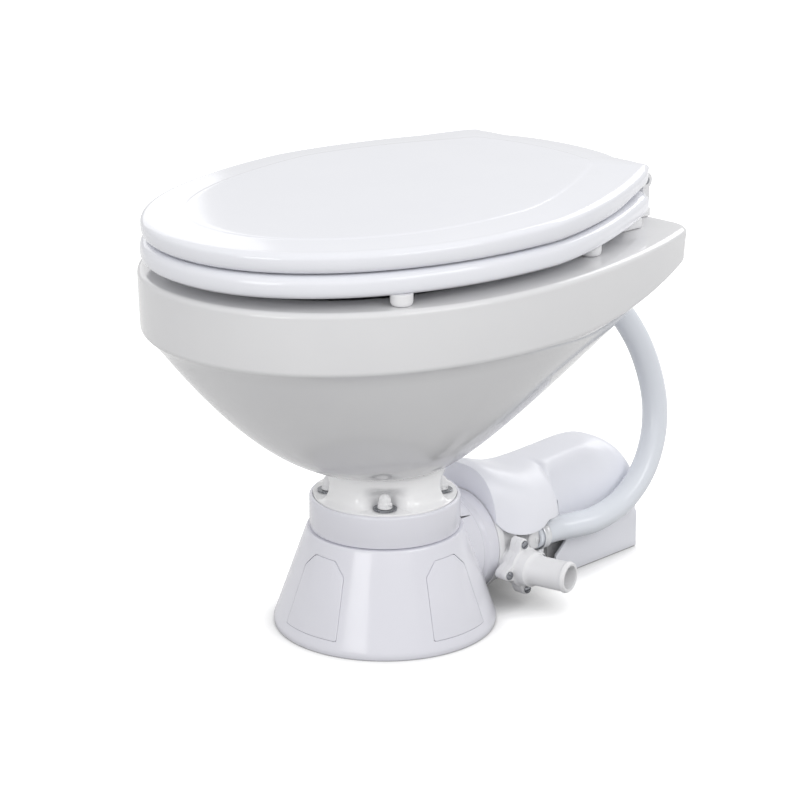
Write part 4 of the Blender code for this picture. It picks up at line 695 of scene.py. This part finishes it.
def pedestal():
    """The cone with its hollow underside, pump drum, and three recesses for the bolt covers."""
    top = SEAM_Z - GAP
    body = loop_lathe([(0.022, top), (cone_radius(top) - 0.0006, top), (cone_radius(top), top - 0.0006),
                       *[(cone_radius(0.012 + (top - 0.014) * (1 - i / 6)), 0.012 + (top - 0.014) * (1 - i / 6))
                         for i in range(7)],
                       (0.1003, 0.0072), (0.10095, 0.0052), (0.101, 0.003), (0.1006, 0.0008), (0.0998, 0),
                       (0.0955, 0), (0.0955, 0.005), (0.0665, 0.0872), (0.022, 0.0872)], 160)
    settle(body, turn=BODY_TURN)
    weld(body, settle(lathe([(0.05, 0.04), (0.05, 0.0978), (0.0497, 0.0985), (0.049, 0.099)], 128), *SHAFT))
    for angle in (45, 135):
        rib = block((-0.0985, -0.002, 0.0015), (0.0985, 0.002, 0.0054), 0.0008)
        weld(body, settle(rib, (0, 0, 0), (0, 0, math.radians(angle))))
    weld(body, lathe([(0.0136, 0), (0.014, 0.0004), (0.014, 0.0086), (0.0136, 0.009)], 48))
    weld(body, lathe([(0.0245, 0.026), (0.0245, 0.0885)], 64),
         settle(lathe([(0.0245, 0), (0.0245, 0.044)], 64), *SHAFT))
    for x, y in on_circle(0.082, (-90, 0, 180)):
        weld(body, settle(lathe([(0.0162, 0.00075), (0.0162, 0.006)], 48), (x, y, 0), PAD_TURN))
        cut(body, settle(lathe([(0.0045, -0.004), (0.0045, 0.01)], 32), (x, y, 0), PAD_TURN))
    cut(body, lathe([(DRAIN_RADIUS, 0.031), (DRAIN_RADIUS, 0.0955)], 64),
        settle(lathe([(0.0192, 0), (0.0192, 0.049)], 64), *SHAFT),
        settle(lathe([(0.045, 0.045), (0.045, 0.103)], 128), *SHAFT),
        settle(lathe([(0.0503, 0.099), (0.0503, 0.105)], 128), *SHAFT),
        settle(loop_lathe([(0.0515, 0.0775), (0.0515, 0.0865), (0.0500, 0.0858), (0.0487, 0.0838), (0.0483, 0.0820),
                           (0.0487, 0.0802), (0.0500, 0.0782)], 128), *SHAFT))
    for word, turn in (("front", -90), ("left", 0), ("right", 180)):
        opening = cut(cover_window(turn, -0.003), cone(0.0095))
        recess = cut(cover_window(turn, 0), cone(0.0029))
        cut(body, weld(recess, opening))
        cover = cut(boolean(cone(-0.0002), cover_window(turn, -0.0005), "INTERSECT"), cone(0.0026))
        soften(cover, 0.0007, 3, 50)
        dress(cover, f"{word}_bolt_cover", "base_plastic", replaces=[f"bolt_cover_{word}"], angle=30)
    dress(body, "pedestal", "base_plastic", replaces=["pedestal_body"], angle=30)


def collar():
    """The ring that carries the bowl, with a fine bead at its seam."""
    top = COLLAR_TOP_Z
    lip = FOOT_RADIUS + 0.0003
    profile = [(0.0198, top - 0.003), (lip, top - 0.003), (lip, top - 0.0002), (lip + 0.0003, top),
               *arc((COLLAR_RADIUS - 0.0024, top - 0.0024), 0.0024, 84, 0, 8), (COLLAR_RADIUS, 0.0930),
               (COLLAR_RADIUS - 0.0003, 0.0924), (0.0652, 0.0924), (0.0652, SEAM_Z), (0.064, SEAM_Z),
               (0.064, 0.1105), (0.0245, 0.1105), (0.0245, SEAM_Z), (0.0198, SEAM_Z)]
    ring = loop_lathe(profile, 160)
    cut(ring, settle(lathe([(0.0503, 0.036), (0.0503, 0.074)], 96), *SHAFT))
    dress(ring, "bowl_collar", "base_plastic", replaces=["pedestal_collar"], angle=30)


# Seat and lid

def knuckle(side, inner, outer, root_y, low, high):
    """A hinge ear: a web out of the rear edge that ends in a barrel with a pin bore."""
    near, far = sorted((side * inner, side * outer))
    web = block((near, root_y, low), (far, HINGE_Y, high), 0.0012)
    weld(web, settle(lathe([(0.007, near), (0.0075, near + 0.0005), (0.0075, far - 0.0005), (0.007, far)], 48),
                     *HINGE))
    return cut(web, settle(lathe([(PIN_BORE, near - 0.001), (PIN_BORE, far + 0.001)], 32), *HINGE))


def seat():
    """The seat ring, rounded all over and grooved below, with its hinge ears and four buffers."""
    thick = SEAT_THICKNESS
    middle, reach = -0.02, 0.138
    turns = [math.atan2((y - middle) / (0.233 + middle), x / SEAT_HALF_WIDTH) for x, y in seat_plan(0)]

    def hole(grow, height):
        return [((0.108 + grow) * math.cos(turn), middle + (reach + grow) * math.sin(turn), SEAT_LOW_Z + height)
                for turn in turns]

    outer = curve_through([(0.3, -0.04), (0.07, 0.12), (0, 0.42), (0.05, 0.76), (0.25, 0.96), (0.7, 1.03)], 6)
    rings = [level(seat_plan(0.02), SEAT_LOW_Z + 0.0012), level(seat_plan(0.0085), SEAT_LOW_Z + 0.0012),
             level(seat_plan(0.0078), SEAT_LOW_Z + 0.0002)]
    rings += [level(seat_plan(max(0, inset) * thick), SEAT_LOW_Z + min(1, height) * thick) for inset, height in outer]
    inner = curve_through([(0.9, 0.92), (0.25, 0.72), (0, 0.4), (0.12, 0.1), (0.4, 0)], 4)
    rings += [hole(max(0, grow) * thick, height * thick) for grow, height in inner]
    rings += [hole(0.0085, 0.0002), hole(0.0092, 0.0012), rings[0]]
    ring = skin(rings, False, False)
    for side in (-1, 1):
        weld(ring, knuckle(side, 0.0575, 0.0695, 0.222, 0.365, HINGE_Z))
    soften(ring, 0.0008, 2, 60)
    dress(ring, "seat_ring", "seat_plastic", "seat", ["seat"])
    pad = lathe([(0.0062, 0), (0.0074, 0.0003), (0.0084, 0.0011), (0.0092, 0.0024), (0.0095, 0.004),
                 (0.0095, 0.0101), (0.0092, 0.0104)], 48)
    for word, across, y in (("front_left", 0.79, -0.12116), ("front_right", -0.79, -0.12116),
                            ("rear_left", 0.82, 0.10485), ("rear_right", -0.82, 0.10485)):
        dress(settle(copied(pad), (across * SEAT_HALF_WIDTH, y, RIM_Z + GAP)), f"seat_buffer_{word}", "nylon", "seat",
              [f"seat_bumper_{word}"])
    put_away(pad)


def lid():
    """The lid: hollowed below, with a skirt, a crease round the top, its hinge ears and two buffers."""
    thick = LID_THICKNESS
    low = LID_LOW_Z

    def ring(inset, height, hang=0.0, overhang=0.0):
        """A ring of the lid, whose top rises to the rear and runs out there between the hinge posts."""
        outline = []
        for x, y in seat_plan(inset):
            rise = (0.0052 * eased((y + 0.10) / 0.30) + 0.0023 * eased((y - 0.17) / 0.05)) * max(0, height) / thick
            lowered = hang * (1 - eased((y - 0.13) / 0.07))
            between = max(0, 1 - (x / (0.067 - inset * 0.3)) ** 2) ** 0.8
            corner = 0.42 * math.exp(-((abs(x) - 0.1035) / 0.0052) ** 2)
            back = overhang * (between + corner) * eased((y - 0.12) / 0.10)
            outline.append((x, y + back, low + height + rise - lowered))
        return outline

    rings = [ring(0.076, 0.0045), ring(0.062, 0.0042), ring(0.056, 0.0025), ring(0.053, 0.0004), ring(0.051, 0),
             ring(0.0165, 0), ring(0.014, 0, LID_SKIRT * 0.4), ring(0.0125, 0, LID_SKIRT * 0.95)]
    edge = curve_through([(0.35, 0), (0.08, 0.16), (0, 0.40), (0.06, 0.64), (0.28, 0.79), (0.62, 0.83)], 6)
    for inset, height in edge:
        rings.append(ring(0.001 + max(0, inset) * thick, max(0, height) * thick,
                          LID_SKIRT * (1 - eased(height / 0.6)), LID_OVERHANG * eased((height - 0.45) / 0.18)))
    for inset, height in ((0.018, 0.01395), (0.024, 0.0145), (0.030, 0.01498), (0.0355, 0.01538), (0.0372, 0.01552),
                          (0.0382, 0.01578), (0.0392, 0.0161), (0.041, 0.01622), (0.045, 0.0163), (0.06, 0.0164),
                          (0.08, 0.01655), (0.1, 0.0167)):
        rings.append(ring(inset, height, 0.0, LID_OVERHANG * (1 - inset / 0.15)))
    panel = skin(rings)
    for side in (-1, 1):
        weld(panel, knuckle(side, 0.0447, 0.0567, 0.223, 0.379, 0.3905))
    soften(panel, 0.0008, 2, 60)
    dress(panel, "lid_panel", "seat_plastic", "lid", ["lid"])
    pad = lathe([(0.005, 0), (0.0058, 0.0006), (0.006, 0.0014), (0.006, 0.0054)], 40)
    for side, word in ((-1, "right"), (1, "left")):
        dress(settle(copied(pad), (side * SEAT_HALF_WIDTH * 0.76, -0.05126, 0.3773)), f"lid_buffer_{word}", "nylon",
              "lid", [f"lid_bumper_{word}"])
    put_away(pad)


def hinges():
    """Moulded hinge blocks on the deck, their bolts with coin slots, wing nuts below and steel pins."""
    bolt = lathe([(0.003, -0.0382), (0.003, 0.0034), (0.006, 0.0034), (0.006, 0.0084), (0.0054, 0.0091)], 40)
    cut(bolt, block((-0.008, -0.0007, 0.0078), (0.008, 0.0007, 0.012)))
    nut = loop_lathe([(0.0033, 0), (0.0086, 0), (0.009, -0.0004), (0.009, -0.0022), (0.0063, -0.0034),
                      (0.0063, -0.0078), (0.0033, -0.008)], 40)
    for turn in (0, 90):
        wing = block((-0.0088, -0.0011, -0.0078), (0.0088, 0.0011, -0.0018), 0.0004)
        settle(wing, turn=(0, 0, math.radians(turn)))
        weld(nut, cut(wing, lathe([(0.0034, -0.01), (0.0034, 0.001)], 24)))
    for side, word in ((-1, "right"), (1, "left")):
        x, y = side * HINGE_BOLT_X, HINGE_BOLT_Y

        def across(near, far):
            return sorted((side * near, side * far))

        near, far = across(0.07, 0.117)
        base = block((near, 0.183, RIM_Z + GAP), (far, 0.21, RIM_Z + 0.0098), 0.002)
        near, far = across(0.0703, 0.0937)
        arm = block((near, 0.2025, RIM_Z + GAP), (far, 0.2485, RIM_Z + 0.0086), 0.0012)
        stem = block((near, 0.2372, RIM_Z + 0.0015), (far, 0.2468, HINGE_Z), 0.0012)
        near, far = across(0.07, 0.094)
        barrel = settle(lathe([(0.007, near), (0.0075, near + 0.0006), (0.0075, far - 0.0006), (0.007, far)], 48),
                        *HINGE)
        weld(base, arm, stem, barrel)
        cut(base, settle(lathe([(PIN_BORE, near - 0.001), (PIN_BORE, far + 0.001)], 32), *HINGE),
            settle(lathe([(0.0063, 0), (0.0063, 0.01)], 40), (x, y, RIM_Z + 0.0035)),
            settle(lathe([(0.0033, 0), (0.0033, 0.01)], 24), (x, y, RIM_Z - 0.004)))
        soften(base, 0.0007, 2, 50)
        dress(base, f"hinge_base_{word}", "nylon", replaces=[f"hinge_block_{word}"])
        near, far = across(0.0441, 0.0946)
        pin = lathe([(0.0024, near), (0.003, near + 0.0006), (0.003, far - 0.0006), (0.0024, far)], 32)
        dress(settle(pin, *HINGE), f"steel_pin_{word}", "steel", replaces=[f"hinge_pin_{word}"])
        dress(settle(copied(bolt), (x, y, RIM_Z)), f"deck_bolt_{word}", "nylon", replaces=[f"hinge_bolt_{word}"])
        dress(settle(copied(nut), (x, y, RIM_Z - 0.0223)), f"wing_nut_{word}", "nylon",
              replaces=[f"hinge_nut_{word}"])
    put_away(bolt, nut)


# Pump, motor and discharge

def lobed(core, reach, lobes, tilt, width):
    """A flange's outline: a round core with ears that blend into it."""
    outline = []
    for i in range(192):
        turn = 2 * math.pi * i / 192
        away = min(abs((turn - tilt - 2 * math.pi * k / lobes + math.pi) % (2 * math.pi) - math.pi)
                   for k in range(lobes))
        radius = core + (reach - core) * math.exp(-(away / width) ** 2.6)
        outline.append((radius * math.cos(turn), radius * math.sin(turn)))
    return outline


def plate(low, high, bevel):
    """The lobed flange as a plate facing +X, with its outer edge rounded."""
    outline = lobed(0.018, 0.0279, 4, math.radians(FLANGE_TILT), math.radians(17))
    layers = [(low, 0.0)]
    layers += [(high - bevel * (1 - rise), bevel * (1 - out)) for out, rise in arc((0, 0), 1, 0, 90, 5)]
    rings = []
    for x, inset in layers:
        ring = []
        for a, b in outline:
            size = math.hypot(a, b)
            share = (size - inset) / size
            ring.append((x, OUTLET_Y + a * share, OUTLET_Z + b * share))
        rings.append(ring)
    return skin(rings)


def macerator():
    """The pump's white housing, with its discharge boss and flange."""
    body = lathe([(0.0107, 0.128), (0.0432, 0.128), (0.0455, 0.1272), (0.0470, 0.1252), (0.0477, 0.1235),
                  (0.0477, 0.1088), (0.0484, 0.1076), (0.0495, 0.1068), (0.05, 0.1058), (0.05, 0.0997),
                  (0.0497, 0.0993), (0.045, 0.0993)], 128)
    settle(body, *SHAFT)
    cut(body, settle(lathe([(0.0428, 0.09), (0.0428, 0.1208)], 96), *SHAFT),
        settle(lathe([(0.0107, 0.1), (0.0107, 0.1285)], 48), *SHAFT))
    boss = settle(lathe([(0.0165, 0.0346), (0.0165, 0.057)], 64), *OUTLET)
    weld(body, boss, plate(0.054, 0.06, 0.0008))
    cut(body, settle(lathe([(0.011, 0.022), (0.011, 0.064)], 48), *OUTLET))
    dress(body, "macerator_body", "nylon", replaces=["macerator_housing"])


def elbow():
    """The matte white outlet with its flange, root, knee and hose lip."""
    low, high = 0.0603, 0.0663
    flange = plate(low, high, 0.0011)
    end_root = high + 0.011
    turn = math.radians(12)
    knee = Vector((end_root - 0.014 * math.sin(turn), OUTLET_Y, OUTLET_Z))
    path = [(0.0655, 0, 0.0185), (0.0668, 0, 0.0172), (0.0685, 0, 0.01655), (0.0763, 0, 0.01645),
            (0.0770, 0, 0.0161), (0.0774, 0, 0.0152)]

    def circle(centre, angle, radius):
        return round_ring(centre, Vector((-math.sin(angle), math.cos(angle), 0)), Vector((0, 0, 1)), radius, 64)

    rings = [circle(Vector((x, OUTLET_Y, OUTLET_Z)), angle, radius) for x, angle, radius in path]
    along = Vector((math.cos(turn), math.sin(turn), 0))
    rings.append(circle(Vector((0.0779, OUTLET_Y + 0.0004, OUTLET_Z)), turn * 0.6, 0.0143))
    for far, radius in ((0.0055, 0.014), (0.0345, 0.01395), (0.0352, 0.0141), (0.0357, 0.0145), (0.0362, 0.01468),
                        (0.0374, 0.01465), (0.0388, 0.0141), (0.0397, 0.0135), (0.04, 0.0131), (0.04, 0.0114),
                        (0.0397, 0.011), (0.0375, 0.0109), (0.006, 0.0109)):
        rings.append(circle(knee + along * far, turn, radius))
    rings.append(circle(Vector((0.0735, OUTLET_Y, OUTLET_Z)), 0, 0.0108))
    rings.append(circle(Vector((0.0585, OUTLET_Y, OUTLET_Z)), 0, 0.0108))
    stub = skin(rings)
    cut(flange, settle(lathe([(0.0112, 0.055), (0.0112, 0.072)], 64), *OUTLET))
    weld(flange, stub)
    dress(flange, "discharge_outlet", "nylon", replaces=["discharge_elbow"])
    head = lathe([(0.002, -0.0105), (0.002, 0), (0.0038, 0), (0.004, 0.0003), (0.004, 0.0008), (0.0036, 0.0015),
                  (0.0028, 0.002), (0.0012, 0.0022)], 40)
    for i, ((out, up), slot_turn) in enumerate(zip(EARS, (35, 118, 62, 97)), 1):
        slot = block((-0.0045, -0.00042, 0.0009), (0.0045, 0.00042, 0.004))
        screw = cut(copied(head), settle(slot, turn=(0, 0, math.radians(slot_turn))))
        settle(screw, (high + GAP, OUTLET_Y + out, OUTLET_Z + up), ALONG_X)
        dress(screw, f"slotted_screw_{i}", "steel", replaces=[f"discharge_screw_{i}"], angle=30)
    put_away(head)


def rinse_pump():
    """The black rinse pump with its two ports, the white elbow to the hose and the ribbed inlet."""
    body = lathe([(0.0045, 0.1283), (0.029, 0.1283), (0.03, 0.1291), (0.03, 0.1345), (0.0293, 0.1352),
                  (0.0293, 0.1545), (0.03, 0.1552), (0.03, 0.1595), (0.0295, 0.16), (0.0225, 0.16), (0.0225, 0.1325),
                  (0.0045, 0.1325)], 96, False, False)
    only(body)
    bpy.ops.object.mode_set(mode="EDIT")
    bpy.ops.mesh.select_mode(type="EDGE")
    bpy.ops.mesh.select_all(action="DESELECT")
    bpy.ops.mesh.select_non_manifold()
    bpy.ops.mesh.bridge_edge_loops()
    bpy.ops.mesh.select_all(action="SELECT")
    bpy.ops.mesh.normals_make_consistent(inside=False)
    rest()
    settle(body, *SHAFT)
    for side in (-1, 1):
        low, high = sorted((side * 0.0255, side * 0.0315))
        weld(body, settle(lathe([(0.00952, low), (0.00952, high)], 48), *PORTS))
    cut(body, settle(lathe([(PORT_BORE, -0.04), (PORT_BORE, 0.04)], 32), *PORTS))
    dress(body, "rinse_pump", "pump_black", replaces=["rinse_pump_body"])

    elbow_low = 0.0318
    lead = settle(lathe([(0.0092, elbow_low), (0.0095, elbow_low + 0.0004), (0.0095, 0.0515), (0.0088, 0.0524),
                         (0.007, 0.0529)], 48), *PORTS)
    barb = settle(lathe([(0.0085, 0.1438), (0.0085, 0.1682), (0.0079, 0.169)], 48), (PORT_X, 0, SHAFT_Z), ALONG_Y)
    weld(lead, barb)
    cut(lead, settle(lathe([(PORT_BORE, 0.028), (PORT_BORE, PORT_X)], 32), *PORTS),
        settle(lathe([(PORT_BORE, 0.1436), (PORT_BORE, 0.173)], 32), (PORT_X, 0, SHAFT_Z), ALONG_Y))
    soften(lead, 0.0005, 2, 50)
    dress(lead, "rinse_elbow", "nylon", replaces=["rinse_outlet_elbow"])

    profile = [(PORT_BORE, 0), (0.0095, 0), (0.0095, 0.0054), (0.009, 0.006), (0.00799, 0.006)]
    for ridge in (0.0174, 0.0234):
        profile += [(0.00799, ridge - 0.0006), (0.009, ridge), (0.009, ridge + 0.0006), (0.00799, ridge + 0.0052)]
    profile += [(0.00799, 0.0296), (0.0077, 0.03), (0.0066, 0.03), (PORT_BORE, 0.0296)]
    inlet = loop_lathe(profile, 48)
    dress(settle(inlet, (-0.0318, PORT_Y, SHAFT_Z), (0, -math.pi / 2, 0)), "inlet_tail", "nylon",
          replaces=["seawater_inlet"])


def motor():
    """A drawn steel can in black enamel, with a rolled seam, and its end cap with a bearing boss."""
    can = lathe([(0.0298, 0.1603), (0.031, 0.1615), (0.031, 0.165), (0.0306, 0.1656), (0.0306, 0.2655),
                 (0.031, 0.2662), (0.031, 0.2712), (0.0303, 0.272)], 96)
    settle(can, *SHAFT)
    cut(can, settle(lathe([(0.0045, 0.155), (0.0045, 0.176)], 32), *SHAFT))
    dress(can, "motor_can", "motor_paint", replaces=["motor_body"])
    cap = lathe([(0.0303, 0.2723), (0.031, 0.273), (0.031, 0.2762), (0.0303, 0.2785), (0.0285, 0.2803),
                 (0.0273, 0.281), (0.0125, 0.2821), (0.0112, 0.2826), (0.0107, 0.2852), (0.0093, 0.286)], 96)
    dress(settle(cap, *SHAFT), "motor_cap", "motor_paint", replaces=["motor_end_cap"])


# Cover over the pump

HOOD_FRONT, HOOD_REAR, HOOD_SIDE, SPRING_Z, HOOD_TOP = 0.0990, 0.3000, 0.0450, 0.0550, 0.1250
# The cover's sections: how far along, how far out over the discharge, how far out on the other side, how high
HOOD = [
    (0.000, 0.08, 1.00, 0.985), (0.045, 0.31, 1.00, 1.000), (0.104, 0.64, 1.00, 0.950),
    (0.179, 0.94, 0.94, 0.880), (0.254, 1.03, 0.67, 0.820), (0.315, 1.00, 0.28, 0.800),
    (0.362, 0.72, 0.10, 0.793), (0.405, 0.05, 0.02, 0.793), (0.446, -0.42, 0.00, 0.793),
    (0.510, -0.54, 0.00, 0.796), (0.610, -0.58, 0.00, 0.806), (0.701, -0.46, 0.00, 0.818),
    (0.791, -0.17, 0.00, 0.824), (0.871, 0.06, 0.00, 0.800), (0.930, 0.06, 0.00, 0.725),
    (0.975, -0.03, -0.03, 0.600), (1.000, -0.11, -0.11, 0.450),
]
# The lower edge of the nose over the hose: how far along, how high
NOSE = [(-0.020, 0.656), (-0.002, 0.620), (0.022, 0.572), (0.055, 0.528), (0.100, 0.503), (0.145, 0.498),
        (0.186, 0.506), (0.228, 0.526), (0.264, 0.566)]


def hood_form(wall):
    """The cover's outer form, or with a wall the space inside it."""
    rings = []
    for along, near_share, far_share, top_share in curve_through(HOOD, 5):
        y = HOOD_FRONT + wall + along * (HOOD_REAR - HOOD_FRONT - 2 * wall)
        near = HOOD_SIDE + near_share * 0.018 - wall
        far = HOOD_SIDE + far_share * (DRUM_RADIUS + 0.004 - HOOD_SIDE) - wall
        top = SPRING_Z + top_share * (HOOD_TOP - SPRING_Z) - wall
        foot = HOOD_SIDE - wall if near_share < 0.1 else near
        low = 0.001 - (0.004 if wall else 0)
        shelf = 0.036 - wall
        section = [(foot, low + (shelf - low) * i / 6) for i in range(7)]
        section += [(near, shelf + 0.0026)]
        section += [(near, shelf + 0.0026 + (SPRING_Z - shelf - 0.0026) * i / 4) for i in range(1, 4)]

        def bend(fullness):
            return [(max(0, math.cos(t)) ** (2 / fullness), math.sin(t) ** (2 / fullness))
                    for t in (math.pi / 2 * k / 26 for k in range(27))]

        scoop = eased(max(0, -near_share) / 0.5) * eased((0.95 - along) / 0.1)
        for c, s in bend(2.6 + 2.2 * scoop):
            hollow = 0.005 * scoop * math.sin(math.pi * s ** 1.5)
            section.append((near * c - hollow, SPRING_Z + (top - SPRING_Z) * s))
        section += [(-far * c, SPRING_Z + (top - SPRING_Z) * s) for c, s in reversed(bend(2.6)[:-1])]
        section += [(-far, low + (SPRING_Z - low) * (1 - i / 9)) for i in range(1, 10)]
        rings.append([(x, y, z) for x, z in section])
    return skin(rings)


def hood():
    """The moulded cover, opened below, at the drum, under its nose and for the inlet."""
    cover = hood_form(0)
    cut(cover, hood_form(0.0026))
    arch = settle(lathe([(DRUM_RADIUS + GAP, 0.09), (DRUM_RADIUS + GAP, 0.1056)], 128), *SHAFT)
    cut(cover, arch, block((-0.035, 0.095, -0.004), (0.035, 0.1056, SHAFT_Z)))
    length = HOOD_REAR - HOOD_FRONT
    edge = [(HOOD_FRONT + along * length, up * HOOD_TOP)
            for along, up in (*curve_through(NOSE, 6), (0.488, 0.566), (0.488, 0.264), (0.418, 0.168))]
    edge += [(edge[-1][0], -0.004), (edge[0][0], -0.004)]
    nose = prism(edge, 0.0135, 0.09)
    nose.data.transform(Matrix(((0, 0, 1, 0), (1, 0, 0, 0), (0, 1, 0, 0), (0, 0, 0, 1))))
    slot = block((-0.0585, 0.1336, -0.004), (-0.0225, 0.1574, 0.0624), 0.0015)
    cut(cover, nose, slot)
    soften(cover, 0.0005, 2, 55)
    dress(cover, "pump_hood", "cover_plastic", replaces=["pump_cover"], angle=40)


# Rinse hose

ROUTE = [
    (0, 0.23, SPIGOT_Z), (0, 0.244, SPIGOT_Z), (0.002, 0.26, 0.266), (0.01, 0.279, 0.255),
    (0.02, 0.295, 0.235), (0.0315, 0.3085, 0.207), (0.041, 0.3155, 0.178), (0.05, 0.316, 0.146),
    (0.056, 0.308, 0.113), (0.06, 0.288, 0.083), (0.062, 0.256, 0.062), (0.06, 0.221, 0.053),
    (0.053, 0.198, 0.051), (0.047, 0.184, 0.0505), (PORT_X, 0.170125, SHAFT_Z), (PORT_X, 0.1486, SHAFT_Z),
]


def hose():
    """A smooth bent hose, its wall turned in at both ends."""
    points = curve_through(ROUTE, 6)
    heading = (points[1] - points[0]).normalized()
    side = Vector((1, 0, 0))
    frames = []
    for i, point in enumerate(points):
        ahead = points[min(i + 1, len(points) - 1)] - points[max(i - 1, 0)]
        turn = heading.rotation_difference(ahead.normalized())
        heading = ahead.normalized()
        side.rotate(turn)
        side = (side - heading * side.dot(heading)).normalized()
        frames.append((point, heading.copy(), side.copy()))

    def circle(frame_at, radius, shift=0.0):
        point, ahead, across = frame_at
        return round_ring(point + ahead * shift, across, ahead.cross(across), radius, 40)

    def end(frame_at, inward):
        """A hose end, from the bore round its rounded rim to the outside."""
        return [circle(frame_at, HOSE_BORE, 0.012 * inward), circle(frame_at, HOSE_BORE, 0.0003 * inward),
                circle(frame_at, HOSE_BORE + 0.0003), circle(frame_at, HOSE_RADIUS - 0.0004),
                circle(frame_at, HOSE_RADIUS, 0.0004 * inward)]

    between = [circle(item, HOSE_RADIUS) for item in frames[1:-1]]
    rings = [*end(frames[0], 1), *between, *reversed(end(frames[-1], -1))]
    dress(skin(rings), "rinse_water_hose", "hose", replaces=["rinse_hose"], angle=40)

    tail = loop_lathe([(PORT_BORE, 0.2437), (0.0078, 0.2437), (0.0085, 0.243), (0.0085, 0.2297), (0.0161, 0.2297),
                       (0.0164, 0.2292), (0.0164, 0.2248), (0.0161, 0.2243), (0.0119, 0.2243), (0.0119, 0.204),
                       (PORT_BORE, 0.204)], 64)
    dress(settle(tail, *SPIGOT), "bowl_hose_tail", "nylon", replaces=["bowl_inlet"])

    clip = loop_lathe([(0.01294, 0), (0.0137, 0), (0.01393, 0.0004), (0.01393, 0.0022), (0.0137, 0.0026),
                       (0.0137, 0.0059), (0.01393, 0.0063), (0.01393, 0.0081), (0.0137, 0.0085),
                       (0.01294, 0.0085)], 72)
    settle(clip, turn=ALONG_Y)
    box = block((-0.0042, 0.0004, -0.01815), (0.0042, 0.0081, -0.0134), 0.0009)
    worm = settle(lathe([(0.0018, -0.0056), (0.0032, -0.0052), (0.0032, -0.0036), (0.0021, -0.0034),
                         (0.0021, 0.004), (0.0014, 0.0046)], 24), (0, 0.00425, -0.0164), ALONG_X)
    weld(clip, box, worm)
    for word, place in (("upper", (0, 0.23255, SPIGOT_Z)), ("lower", (PORT_X, 0.1526, SHAFT_Z))):
        band = settle(copied(clip), place)
        dress(band, f"hose_clip_{word}", "steel", replaces=[f"hose_clamp_{word}"])
        band.data.materials[0] = CLIP_STRIP
    put_away(clip)


china_bowl()
bowl_fixings()
pedestal()
collar()
seat()
lid()
hinges()
macerator()
elbow()
rinse_pump()
motor()
hood()
hose()
